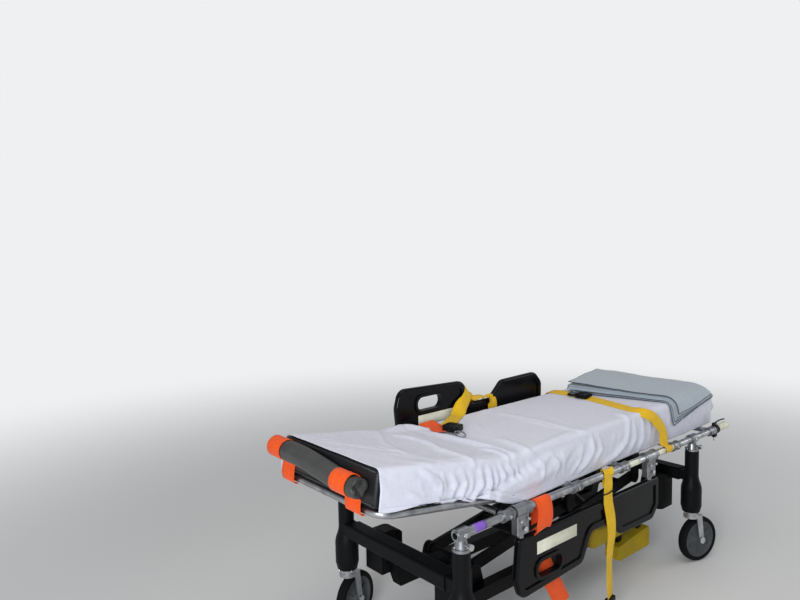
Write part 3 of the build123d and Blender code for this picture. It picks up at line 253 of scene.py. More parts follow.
class StretcherCamera(bpy.types.PropertyGroup):
    """The viewpoint of the main picture."""
    place: FloatVectorProperty(name="Place", description="Camera position", subtype="XYZ", unit="LENGTH",
                               default=(-2.1418, -1.7306, 1.4584))
    yaw: angle("Yaw", "Heading, from +Y towards +X", math.radians(40.209))
    pitch: angle("Pitch", "Downward tilt", math.radians(5.092))
    roll: angle("Roll", "Clockwise lean", math.radians(1.107))
    lens: FloatProperty(name="Lens", description="Focal length on a 36 mm sensor, in mm", default=30.876)


# Shader building blocks

def add_node(tree, kind, inputs=None, **settings):
    """A new node with its settings, and its inputs set or linked."""
    node = tree.nodes.new(kind)
    for key, value in settings.items():
        setattr(node, key, value)
    for key, value in (inputs or {}).items():
        if isinstance(value, bpy.types.NodeSocket):
            tree.links.new(value, node.inputs[key])
        else:
            node.inputs[key].default_value = value
    return node


def compute(tree, operation, *values):
    """The output of a Math node."""
    return add_node(tree, "ShaderNodeMath", dict(enumerate(values)), operation=operation).outputs[0]


def new_group(name, inputs, outputs):
    """An empty shader node group with its sockets, and its input and output nodes."""
    tree = bpy.data.node_groups.new(name, "ShaderNodeTree")
    for label, kind, default in inputs:
        socket = tree.interface.new_socket(label, in_out="INPUT", socket_type=kind)
        if default is not None:
            socket.default_value = default
    for label, kind in outputs:
        tree.interface.new_socket(label, in_out="OUTPUT", socket_type=kind)
    return tree, tree.nodes.new("NodeGroupInput").outputs, tree.nodes.new("NodeGroupOutput").inputs


def weave_group():
    """Crossing threads over UV coordinates in metres, with a slub along them."""
    tree, given, result = new_group(
        "Woven threads",
        [("UV", "NodeSocketVector", None), ("Threads", "NodeSocketFloat", 900.0),
         ("Slub", "NodeSocketFloat", 0.3)],
        [("Height", "NodeSocketFloat"), ("Shade", "NodeSocketFloat")])
    axes = add_node(tree, "ShaderNodeSeparateXYZ", {0: given["UV"]}).outputs
    turns = [compute(tree, "MULTIPLY", compute(tree, "MULTIPLY", axis, given["Threads"]), math.pi)
             for axis in (axes[0], axes[1])]
    warp, weft = (compute(tree, "ABSOLUTE", compute(tree, "SINE", turn)) for turn in turns)
    over = compute(tree, "MAXIMUM", compute(tree, "MULTIPLY", warp, 0.8), weft)
    slub = add_node(tree, "ShaderNodeTexNoise", {"Vector": given["UV"], "Scale": 60.0,
                                                 "Detail": 4.0}).outputs["Fac"]
    tree.links.new(over, result["Height"])
    tree.links.new(compute(tree, "MULTIPLY_ADD", compute(tree, "SUBTRACT", slub, 0.5), given["Slub"], 1.0),
                   result["Shade"])
    return tree


def wear_group():
    """Blotches and fine scratches over a position, for rubbed and handled surfaces."""
    tree, given, result = new_group(
        "Handling wear",
        [("Position", "NodeSocketVector", None), ("Blotch", "NodeSocketFloat", 14.0),
         ("Scratch", "NodeSocketFloat", 220.0), ("Stretch", "NodeSocketVector", (1.0, 1.0, 1.0))],
        [("Blotches", "NodeSocketFloat"), ("Scratches", "NodeSocketFloat")])
    blotch = add_node(tree, "ShaderNodeTexNoise", {"Vector": given["Position"], "Scale": given["Blotch"],
                                                   "Detail": 5.0, "Roughness": 0.6}).outputs["Fac"]
    drawn = add_node(tree, "ShaderNodeVectorMath", {0: given["Position"], 1: given["Stretch"]},
                     operation="MULTIPLY")
    scratch = add_node(tree, "ShaderNodeTexNoise", {"Vector": drawn.outputs[0], "Scale": given["Scratch"],
                                                    "Detail": 3.0}).outputs["Fac"]
    shaped = add_node(tree, "ShaderNodeMapRange", {"Value": blotch, "From Min": 0.32, "From Max": 0.68})
    lines = add_node(tree, "ShaderNodeMapRange", {"Value": scratch, "From Min": 0.56, "From Max": 0.74})
    tree.links.new(shaped.outputs["Result"], result["Blotches"])
    tree.links.new(lines.outputs["Result"], result["Scratches"])
    return tree


def grain_group():
    """Fine pebbled grain with broader unevenness, for moulded plastic, vinyl and castings."""
    tree, given, result = new_group(
        "Pebble grain",
        [("Position", "NodeSocketVector", None), ("Grain", "NodeSocketFloat", 700.0),
         ("Unevenness", "NodeSocketFloat", 0.3)],
        [("Height", "NodeSocketFloat")])
    pebble = add_node(tree, "ShaderNodeTexVoronoi", {"Vector": given["Position"], "Scale": given["Grain"]})
    broad = add_node(tree, "ShaderNodeTexNoise", {"Vector": given["Position"], "Scale": 45.0, "Detail": 3.0})
    tree.links.new(compute(tree, "MULTIPLY_ADD", broad.outputs["Fac"], given["Unevenness"],
                           pebble.outputs["Distance"]), result["Height"])
    return tree


# The shared node groups by name, made with the finishes
GROUPS = {}


def group_node(tree, name, inputs):
    """One of the shared groups placed in a material."""
    return add_node(tree, "ShaderNodeGroup", inputs, node_tree=GROUPS[name]).outputs


class Finish:
    """A material under construction: its tree, its Principled shader and its Object coordinates."""

    def __init__(self, name, base, roughness, **constants):
        self.material = bpy.data.materials.new(name)
        self.material.use_nodes = True
        self.material.diffuse_color = (*base, 1.0)
        self.tree = self.material.node_tree
        self.shader = self.tree.nodes["Principled BSDF"]
        self.base = (*base, 1.0)
        self.roughness = roughness
        self.shader.inputs["Base Color"].default_value = self.base
        self.shader.inputs["Roughness"].default_value = roughness
        for key, value in constants.items():
            self.shader.inputs[key.replace("_", " ").title().replace("Ior", "IOR")].default_value = value
        self.place = self.tree.nodes.new("ShaderNodeTexCoord").outputs["Object"]

    def shade(self, mask, low, high):
        """The base colour scaled from low to high over a mask."""
        scale = add_node(self.tree, "ShaderNodeMapRange", {"Value": mask, "To Min": low, "To Max": high})
        tinted = add_node(self.tree, "ShaderNodeVectorMath", {0: self.base[:3]}, operation="SCALE")
        self.tree.links.new(scale.outputs["Result"], tinted.inputs["Scale"])
        self.tree.links.new(tinted.outputs[0], self.shader.inputs["Base Color"])

    def tint(self, mask, other):
        """The base colour mixed towards another colour over a mask."""
        mix = add_node(self.tree, "ShaderNodeMix", data_type="RGBA")
        self.tree.links.new(mask, mix.inputs["Factor"])
        source = self.shader.inputs["Base Color"].links
        if source:
            self.tree.links.new(source[0].from_socket, mix.inputs["A"])
        else:
            mix.inputs["A"].default_value = self.base
        mix.inputs["B"].default_value = (*other, 1.0)
        self.tree.links.new(mix.outputs["Result"], self.shader.inputs["Base Color"])

    def vary_roughness(self, mask, low, high):
        """Roughness from low to high over a mask."""
        scale = add_node(self.tree, "ShaderNodeMapRange", {"Value": mask, "To Min": low, "To Max": high})
        self.tree.links.new(scale.outputs["Result"], self.shader.inputs["Roughness"])

    def bump(self, height, strength, distance):
        """Bump from a height."""
        node = add_node(self.tree, "ShaderNodeBump", {"Height": height, "Strength": strength,
                                                      "Distance": distance})
        if self.shader.inputs["Normal"].links:
            self.tree.links.new(self.shader.inputs["Normal"].links[0].from_socket, node.inputs["Normal"])
        self.tree.links.new(node.outputs["Normal"], self.shader.inputs["Normal"])


def moulded(name, base, roughness, grain=900.0, coat=0.0):
    """Moulded plastic with grain, scuffs and handling marks."""
    finish = Finish(name, base, roughness, coat_weight=coat, coat_roughness=0.1, specular_ior_level=0.1)
    wear = group_node(finish.tree, "wear", {"Position": finish.place, "Blotch": 9.0, "Scratch": 160.0,
                                            "Stretch": (0.25, 1.0, 1.6)})
    pebble = group_node(finish.tree, "grain", {"Position": finish.place, "Grain": grain, "Unevenness": 0.8})
    finish.shade(wear["Blotches"], 0.85, 1.25)
    finish.tint(compute(finish.tree, "MULTIPLY", wear["Scratches"], 0.12),
                [min(1, 3 * c + 0.025) for c in base])
    finish.vary_roughness(wear["Blotches"], roughness - 0.06, roughness + 0.1)
    finish.bump(pebble["Height"], 0.18, 0.0006)
    return finish.material


def metal(name, base, roughness, stretch=(0.06, 1.0, 1.0), scratch=900.0, dull=0.55):
    """Drawn, cast or bright metal with rubbed patches and scratches."""
    finish = Finish(name, base, roughness, metallic=1.0)
    wear = group_node(finish.tree, "wear", {"Position": finish.place, "Blotch": 22.0, "Scratch": scratch,
                                            "Stretch": stretch})
    finish.shade(wear["Blotches"], dull, 1.1)
    finish.vary_roughness(wear["Blotches"], roughness + 0.12, roughness - 0.05)
    finish.bump(wear["Scratches"], 0.12, 0.0003)
    return finish.material


def webbing(name, base):
    """Woven strap webbing over UV in metres, darker along its selvedges and where it was handled."""
    finish = Finish(name, base, 0.62, sheen_weight=0.1, sheen_roughness=0.5, specular_ior_level=0.2)
    uv = add_node(finish.tree, "ShaderNodeUVMap", uv_map="UVMap").outputs["UV"]
    threads = group_node(finish.tree, "weave", {"UV": uv, "Threads": 620.0, "Slub": 0.5})
    wear = group_node(finish.tree, "wear", {"Position": finish.place, "Blotch": 26.0, "Scratch": 500.0})
    across = add_node(finish.tree, "ShaderNodeSeparateXYZ", {0: uv}).outputs[0]
    edge = add_node(finish.tree, "ShaderNodeMapRange", {
        "Value": compute(finish.tree, "ABSOLUTE", across), "From Min": 0.0200, "From Max": 0.0236})
    finish.shade(threads["Height"], 0.72, 1.06)
    soil = compute(finish.tree, "MULTIPLY", wear["Blotches"], 0.3)
    rim = compute(finish.tree, "MULTIPLY", edge.outputs["Result"], 0.28)
    finish.tint(compute(finish.tree, "MAXIMUM", soil, rim), [0.55 * c for c in base])
    finish.bump(threads["Height"], 0.5, 0.0005)
    return finish.material


def cotton(name, base, threads, depth, wrinkle, sheen=0.3, hem=0.0):
    """Woven or cellular cotton over UV in metres, with fine creases and a stitched hem along a cut of that
    width."""
    finish = Finish(name, base, 0.85, sheen_weight=sheen, sheen_roughness=0.6, specular_ior_level=0.25)
    uv = add_node(finish.tree, "ShaderNodeUVMap", uv_map="UVMap").outputs["UV"]
    cloth = group_node(finish.tree, "weave", {"UV": uv, "Threads": threads, "Slub": 0.25})
    wear = group_node(finish.tree, "wear", {"Position": finish.place, "Blotch": 5.0, "Scratch": 9.0,
                                            "Stretch": (1.0, 0.5, 0.7)})
    finish.shade(compute(finish.tree, "MULTIPLY", cloth["Shade"], compute(
        finish.tree, "MULTIPLY_ADD", wear["Blotches"], 0.04, 0.96)), 0.0, 1.0)
    if hem:
        across = add_node(finish.tree, "ShaderNodeSeparateXYZ", {0: uv}).outputs[1]
        rim = compute(finish.tree, "MINIMUM", across, compute(finish.tree, "SUBTRACT", hem, across))
        seam = compute(finish.tree, "ABSOLUTE", compute(finish.tree, "SUBTRACT", rim, 0.018))
        stitch = add_node(finish.tree, "ShaderNodeMapRange", {"Value": seam, "From Min": 0.0022,
                                                              "From Max": 0.0006})
        finish.tint(compute(finish.tree, "MULTIPLY", stitch.outputs["Result"], 0.22), [0.5 * c for c in base])
        finish.bump(stitch.outputs["Result"], -0.6, 0.002)
    finish.bump(wear["Scratches"], 0.35, wrinkle)
    finish.bump(cloth["Height"], 0.5, depth)
    return finish.material


def vinyl(name, base, roughness):
    """Coated fabric with a leathery grain and soft creases."""
    finish = Finish(name, base, roughness, coat_weight=0.08, coat_roughness=0.3, specular_ior_level=0.3)
    pebble = group_node(finish.tree, "grain", {"Position": finish.place, "Grain": 1100.0, "Unevenness": 2.2})
    wear = group_node(finish.tree, "wear", {"Position": finish.place, "Blotch": 16.0, "Scratch": 60.0,
                                            "Stretch": (1.0, 0.25, 1.0)})
    finish.shade(wear["Blotches"], 0.8, 1.3)
    finish.vary_roughness(wear["Blotches"], roughness - 0.08, roughness + 0.1)
    finish.bump(wear["Scratches"], 0.3, 0.0012)
    finish.bump(pebble["Height"], 0.3, 0.0006)
    return finish.material


FINISHES = {}


def make_finishes(shades):
    """Every material of the stretcher, under the record's slot names where it has one."""
    GROUPS.update(weave=weave_group(), wear=wear_group(), grain=grain_group())
    FINISHES.update(
        black_moulding=moulded("Black moulding", shades.black_plastic, 0.42),
        # Also put on the top frame, where it is painted shade.
        chassis_black=moulded("Black powder coat and painted shade", shades.powder, 0.38, grain=1500.0),
        panel_black=moulded("Side arm moulding", shades.panel, 0.2, grain=500.0, coat=0.12),
        deck_black=moulded("Deck sheet", shades.black_plastic, 0.5),
        hub_grey=moulded("Hub moulding", shades.hub, 0.4),
        tyre_black=moulded("Tyre rubber", shades.tyre, 0.66, grain=1200.0),
        pedal_yellow=moulded("Pedal moulding", shades.pedal, 0.45),
        grip_cream=moulded("Grip moulding", shades.grip, 0.35),
        buckle_black=moulded("Buckle moulding", shades.black_plastic, 0.28, coat=0.1),
        label_cream=moulded("Blank label", shades.label, 0.4, grain=2500.0),
        tape_violet=moulded("Marking tape", shades.tape, 0.45, grain=2500.0),
        satin_aluminium=metal("Drawn aluminium", shades.aluminium, 0.32),
        cast_alloy=metal("Cast alloy", shades.casting, 0.36, stretch=(1.0, 1.0, 1.0), scratch=420.0,
                         dull=0.6),
        bright_steel=metal("Bright steel", shades.steel, 0.16, dull=0.75),
        fork_grey=metal("Fork steel", shades.fork, 0.36, stretch=(1.0, 1.0, 0.1), dull=0.7),
        foam_cover=vinyl("Mattress vinyl", shades.vinyl, 0.36),
        vinyl_charcoal=vinyl("Carry sheet vinyl", shades.roll, 0.34),
        sheet_white=cotton("Cotton sheet", shades.sheet, 1100.0, 0.0002, 0.002, hem=0.812),
        blanket_blue=cotton("Blanket cotton", shades.blanket, 300.0, 0.0007, 0.003, sheen=0.5),
        # The darker finish on the blanket's side edges and rims.
        blanket_hem=cotton("Blanket dark edge", shades.blanket_hem, 500.0, 0.0005, 0.001),
        webbing_yellow=webbing("Yellow webbing", shades.yellow),
        webbing_orange=webbing("Orange webbing", shades.orange),
    )


# Mesh building blocks

def finished(name, bm, slots, body=None, replaces=()):
    """A piece from a bmesh, with its finishes, riding on its body."""
    mesh = bpy.data.meshes.new(name)
    bm.to_mesh(mesh)
    bm.free()
    piece = bpy.data.objects.new(name, mesh)
    bpy.context.scene.collection.objects.link(piece)
    for slot in slots:
        mesh.materials.append(FINISHES[slot])
    for polygon in mesh.polygons:
        polygon.use_smooth = True
    if body:
        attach(piece, body)
    if replaces:
        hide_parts(*replaces)
    return piece


def keep_sharp(piece, degrees=35):
    """Smooth shading that stops at edges sharper than an angle."""
    piece.data.set_sharp_from_angle(angle=math.radians(degrees))
    return piece


def thicken(piece, thickness, offset=1):
    """Gives a piece made of one surface its thickness, outward, or to both sides with an offset of 0."""
    solid = piece.modifiers.new("Thickness", "SOLIDIFY")
    solid.thickness = thickness
    solid.offset = offset
    return solid


def soften(piece, width):
    """Rounds the rims of a thickened piece."""
    rim = piece.modifiers.new("Soft rim", "BEVEL")
    rim.width = width
    rim.segments = 2
    rim.limit_method = "ANGLE"


def applied(piece):
    """Keeps the shape that a piece's modifiers give it, and drops them."""
    graph = bpy.context.evaluated_depsgraph_get()
    piece.data = bpy.data.meshes.new_from_object(piece.evaluated_get(graph))
    piece.modifiers.clear()


def bend_with_backrest(piece):
    """Bakes the placement of a piece that lies over the mattress's bend into its mesh. It is not shared with the
    backrest and rides on no body.
    """
    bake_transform(piece)


def round_edges(bm, edges, radius, segments):
    """Rounds edges of a mesh under construction."""
    bmesh.ops.bevel(bm, geom=list(edges), offset=radius, segments=segments, profile=0.5, affect="EDGES",
                    material=-1)


def add_block(bm, matrix, radius=0.0, segments=2):
    """The unit cube through a matrix, with rounded edges."""
    made = bmesh.ops.create_cube(bm, size=1, matrix=matrix)
    if radius:
        round_edges(bm, {edge for vert in made["verts"] for edge in vert.link_edges}, radius, segments)


def add_box(bm, low, high, radius=0.0, segments=3):
    """A box between two corners, with rounded edges."""
    low, high = Vector(low), Vector(high)
    size = Matrix.Diagonal((*(high - low), 1))
    add_block(bm, Matrix.Translation((low + high) / 2) @ size, radius, segments)


def along(start, end):
    """A matrix whose Z runs from start to end, at their middle."""
    start, end = Vector(start), Vector(end)
    return Matrix.Translation((start + end) / 2) @ (end - start).to_track_quat("Z", "Y").to_matrix().to_4x4()


def add_rod(bm, start, end, radius, segments=32, bevel=0.0):
    """A round bar with bevelled rims."""
    made = bmesh.ops.create_cone(bm, cap_ends=True, segments=segments, radius1=radius, radius2=radius,
                                 depth=(Vector(end) - Vector(start)).length, matrix=along(start, end))
    if bevel:
        rims = {edge for vert in made["verts"] for edge in vert.link_edges
                if any(len(face.verts) > 4 for face in edge.link_faces)}
        round_edges(bm, rims, bevel, 2)


def add_hex(bm, start, reach, radius):
    """A hexagon head with a chamfered outer face, reaching from a start by a vector."""
    add_rod(bm, start, Vector(start) + Vector(reach), radius, segments=6, bevel=radius * 0.12)


def add_wire(bm, path, radius, sides=8):
    """A round wire along a path."""
    spots = [Vector(point) for point in path]
    for start, end in zip(spots, spots[1:]):
        add_rod(bm, start, end, radius, segments=sides)
    for point in spots[1:-1]:
        bmesh.ops.create_icosphere(bm, subdivisions=1, radius=radius, matrix=Matrix.Translation(point))


def add_lathe(bm, profile, place, steps=64):
    """A closed (radius, height) profile spun round the Z axis of a matrix."""
    verts = [bm.verts.new((radius, 0, height)) for radius, height in profile]
    edges = [bm.edges.new(pair) for pair in zip(verts, verts[1:] + verts[:1])]
    spun = bmesh.ops.spin(bm, geom=verts + edges, cent=(0, 0, 0), axis=(0, 0, 1), angle=2 * math.pi,
                          steps=steps, use_merge=True, use_duplicate=False)["geom_last"]
    made = {vert for edge in edges if edge.is_valid for vert in edge.verts}
    made |= {item for item in spun if isinstance(item, bmesh.types.BMVert) and item.is_valid}
    faces = set()
    todo = list(made)
    while todo:
        vert = todo.pop()
        for edge in vert.link_edges:
            other = edge.other_vert(vert)
            if other not in made:
                made.add(other)
                todo.append(other)
        faces.update(vert.link_faces)
    bmesh.ops.transform(bm, matrix=place, verts=list(made))
    bmesh.ops.recalc_face_normals(bm, faces=list(faces))


def add_wheel_rim(bm, side, place, steps):
    """A lathe whose profile repeats below the wheel's middle plane what it has above it."""
    below = [(radius, -height) for radius, height in reversed(side) if height]
    add_lathe(bm, side + below, place, steps=steps)


def add_grid(bm, columns, rows):
    """The vertices of a flat grid one unit across, centred on the origin."""
    return bmesh.ops.create_grid(bm, x_segments=columns, y_segments=rows, size=0.5, calc_uvs=False)["verts"]


def lay_uv(bm, long, wide):
    """UV in metres over a grid that is still one unit across."""
    layer = bm.loops.layers.uv.new("UVMap")
    for face in bm.faces:
        for loop in face.loops:
            loop[layer].uv = ((loop.vert.co.x + 0.5) * long, (loop.vert.co.y + 0.5) * wide)


def add_wrap(bm, low, high, radius, first, last):
    """A patch wrapped round the near rail between two places and two angles from the top, turning outward."""
    for vert in add_grid(bm, 4, max(6, round((last - first) / 9))):
        turn = math.radians(first + (vert.co.y + 0.5) * (last - first))
        vert.co = Vector((low + (vert.co.x + 0.5) * (high - low), -RAIL_Y - radius * math.sin(turn),
                          RAIL_Z + radius * math.cos(turn)))


def add_buckle(bm, place, wide, long, thick):
    """A rounded buckle body with its push button, lying flat at a place."""
    made = bmesh.ops.create_cube(bm, size=1, matrix=place @ Matrix.Diagonal((wide, long, thick, 1)))
    lifted = (place.to_3x3() @ Vector((0, 0, 1))).normalized()
    uprights = {edge for vert in made["verts"] for edge in vert.link_edges
                if abs((edge.verts[0].co - edge.verts[1].co).normalized().dot(lifted)) > 0.9}
    round_edges(bm, uprights, 0.014, 5)
    flat = [face for face in bm.faces if face.is_valid and abs(face.normal.dot(lifted)) > 0.9]
    round_edges(bm, {edge for face in flat for edge in face.edges}, 0.004, 3)
    button = Matrix.Diagonal((wide * 0.5, long * 0.34, thick * 0.3, 1))
    add_block(bm, place @ Matrix.Translation((0, long * 0.16, thick * 0.48)) @ button, 0.0015)


# Paths and straps

def clamp(value):
    """A value held between 0 and 1."""
    return min(1.0, max(0.0, value))


def ease(share):
    """A share of 0 to 1 that starts and ends softly."""
    return share * share * (3 - 2 * share)


def curve_at(points, x):
    """The value at x on the line through (x, value) points."""
    for (low, start), (high, end) in zip(points, points[1:]):
        if x <= high:
            break
    return start + (end - start) * clamp((x - low) / (high - low))


def legs(radius, degrees):
    """A radius at an angle, as its cosine and sine legs."""
    return radius * math.cos(math.radians(degrees)), radius * math.sin(math.radians(degrees))


def smooth_path(points, spacing):
    """Points every spacing or so along a Catmull-Rom curve through the given points."""
    points = [Vector(point) for point in points]
    ends = [2 * points[0] - points[1], *points, 2 * points[-1] - points[-2]]
    path = []
    for before, start, end, after in zip(ends, ends[1:], ends[2:], ends[3:]):
        count = max(1, round((end - start).length / spacing))
        for step in range(count):
            t = step / count
            path.append(0.5 * (2 * start + (end - before) * t
                               + (2 * before - 5 * start + 4 * end - after) * t ** 2
                               + (3 * start - before - 3 * end + after) * t ** 3))
    return path + [points[-1]]


def heading(path, row):
    """The run from the point before a row of a path to the point after it."""
    return path[min(row + 1, len(path) - 1)] - path[max(row - 1, 0)]


def evened(directions, reach):
    """Directions along a path, each averaged with its neighbours."""
    return [sum(directions[max(0, row - reach):row + reach + 1], Vector()).normalized()
            for row in range(len(directions))]


def add_ribbon(bm, path, across, width, lanes=4):
    """Flat webbing along a path. Across is its width's direction, or one for each point. UV is in metres."""
    grid = add_grid(bm, lanes, len(path) - 1)
    layer = bm.loops.layers.uv.get("UVMap") or bm.loops.layers.uv.new("UVMap")
    rows = sorted(grid, key=lambda vert: (round(vert.co.y, 5), vert.co.x))
    runs = [0.0]
    for start, end in zip(path, path[1:]):
        runs.append(runs[-1] + (end - start).length)
    spots = {}
    for row, point in enumerate(path):
        side = across[row] if isinstance(across, list) else Vector(across)
        tangent = heading(path, row).normalized()
        side = (side - tangent * side.dot(tangent)).normalized()
        for lane in range(lanes + 1):
            offset = (lane / lanes - 0.5) * width
            vert = rows[row * (lanes + 1) + lane]
            vert.co = point + side * offset
            spots[vert] = (offset, runs[row])
    for face in {face for vert in grid for face in vert.link_faces}:
        for loop in face.loops:
            loop[layer].uv = spots[loop.vert]


def strap(name, routes, slot, body, width, thickness, replaces=()):
    """Webbing from one or more (path, across) routes, given its thickness."""
    bm = bmesh.new()
    for path, across in routes:
        add_ribbon(bm, path, across, width)
    piece = finished(name, bm, [slot], body, replaces=replaces)
    thicken(piece, thickness, offset=0)
    soften(piece, 0.0005)


def round_rail(x, turns, side=-1):
    """A strap's points round a rail, at angles in degrees from the rail's top, turning outward."""
    placed = []
    for turn in turns:
        up, out = legs(RAIL_R + 0.0018, turn)
        placed.append(Vector((x, side * (RAIL_Y + out), RAIL_Z + up)))
    return placed


def lying_on(name):
    """A function of x, y and a lift that finds the place on top of a piece."""
    tree = BVHTree.FromObject(bpy.data.objects[name], bpy.context.evaluated_depsgraph_get())

    def place(x, y, lift):
        top = tree.ray_cast(Vector((x, y, 2)), Vector((0, 0, -1)))[0]
        return Vector((x, y, (top.z if top else TOP_Z) + lift))
    return place


# Shapes of the soft pieces

def turn_with_backrest(point, tilt):
    """A point of the flat mattress as the backrest's rest tilt leaves it, bent over the pivot."""
    share = ease(clamp((PIVOT.x + BEND_REACH - point.x) / (2 * BEND_REACH)))
    return PIVOT + Matrix.Rotation(tilt * share, 4, "Y") @ (point - PIVOT)


def tilted(point, tilt):
    """A point that rides on the backrest, from its place with the backrest flat."""
    return PIVOT + Matrix.Rotation(tilt, 4, "Y") @ (Vector(point) - PIVOT)


def roll_sag(y):
    """How far the rolled carry sheet hangs down at y, loosest towards the near side."""
    return 0.024 * ease(clamp((0.13 - y) / 0.33))


def settle(piece, hard, frames, swell, bending):
    """Lets a piece wrinkle and settle as cloth over hard pieces, and keeps its shape. Its vertex groups say
    where it swells and where it is pinned."""
    for solid in hard:
        solid.modifiers.new("Contact", "COLLISION")
        solid.collision.thickness_outer = 0.0015
        solid.collision.cloth_friction = 12
    cloth = piece.modifiers.new("Cloth", "CLOTH")
    cloth.point_cache.frame_end = frames
    for key, value in {
            "quality": 7, "mass": 0.12, "tension_stiffness": 14, "compression_stiffness": 14,
            "shear_stiffness": 4, "bending_stiffness": bending, "air_damping": 3,
            "vertex_group_shrink": "Slack", "shrink_min": 0.0, "shrink_max": -swell,
            "vertex_group_mass": "Pinned"}.items():
        setattr(cloth.settings, key, value)
    cloth.collision_settings.distance_min = 0.002
    cloth.collision_settings.use_self_collision = False
    for number in range(1, frames + 1):
        bpy.context.scene.frame_set(number)
    applied(piece)
    for solid in hard:
        solid.modifiers.remove(solid.modifiers["Contact"])
    bpy.context.scene.frame_set(1)


def refine(piece):
    """Divides a piece's mesh once, smoothly."""
    smooth = piece.modifiers.new("Smooth", "SUBSURF")
    smooth.levels = smooth.render_levels = 1
    applied(piece)


def ridge_heights(x, across, points, width, height):
    """The height that one ridge gives each spot. It runs along its points and dies away at both ends."""
    line = [Vector(point) for point in points]
    lengths = [(end - start).length for start, end in zip(line, line[1:])]
    nearest, place, done = np.full(len(x), 9.0), np.zeros(len(x)), 0.0
    for start, end, long in zip(line, line[1:], lengths):
        run = end - start
        share = np.clip(((x - start.x) * run.x + (across - start.y) * run.y) / run.length_squared, 0, 1)
        away = np.hypot(x - start.x - run.x * share, across - start.y - run.y * share)
        closer = away < nearest
        place[closer] = (done + long * share[closer]) / sum(lengths)
        nearest[closer] = away[closer]
        done += long
    return height * np.exp(-(nearest / width) ** 1.7) * np.sin(np.pi * (0.10 + 0.80 * place)) ** 0.7


def wrinkle(piece, ridges, lowest):
    """Raises soft ridges on the draped sheet, from (points, width, height) rows whose points give x and the
    distance from the middle over the cloth. The sheet stays clear of the side arms' knuckles."""
    mesh = piece.data
    count = len(mesh.vertices)
    spots, normals = np.empty(count * 3), np.empty(count * 3)
    mesh.vertices.foreach_get("co", spots)
    mesh.vertex_normals.foreach_get("vector", normals)
    spots, normals = spots.reshape(-1, 3), normals.reshape(-1, 3)
    x, y, z = spots.T
    raised = np.maximum(0.0, (PIVOT.x - x) * math.tan(REST_TILT))
    fallen = np.maximum(0.0, TOP_Z + raised - z - 0.004)
    across = np.sign(y) * (np.abs(y) + fallen * (np.abs(y) > HALF_WIDTH - 0.012))
    lift = np.full(count, lowest)
    for points, width, height in ridges:
        ridge = ridge_heights(x, across, points, width, height)
        lift = np.maximum(lift, ridge) + 0.2 * np.minimum(lift, ridge)
    spots += normals * lift[:, None]
    beside = sum(np.exp(-((spots[:, 0] - knuckle) / KNUCKLE_REACH) ** 4) for knuckle in KNUCKLES)
    limit = SHEET_LIMIT - KNUCKLE_ROOM * np.minimum(1.0, beside)
    spots[:, 1] = np.clip(spots[:, 1], -limit, limit)
    mesh.vertices.foreach_set("co", spots.ravel())
    mesh.update()


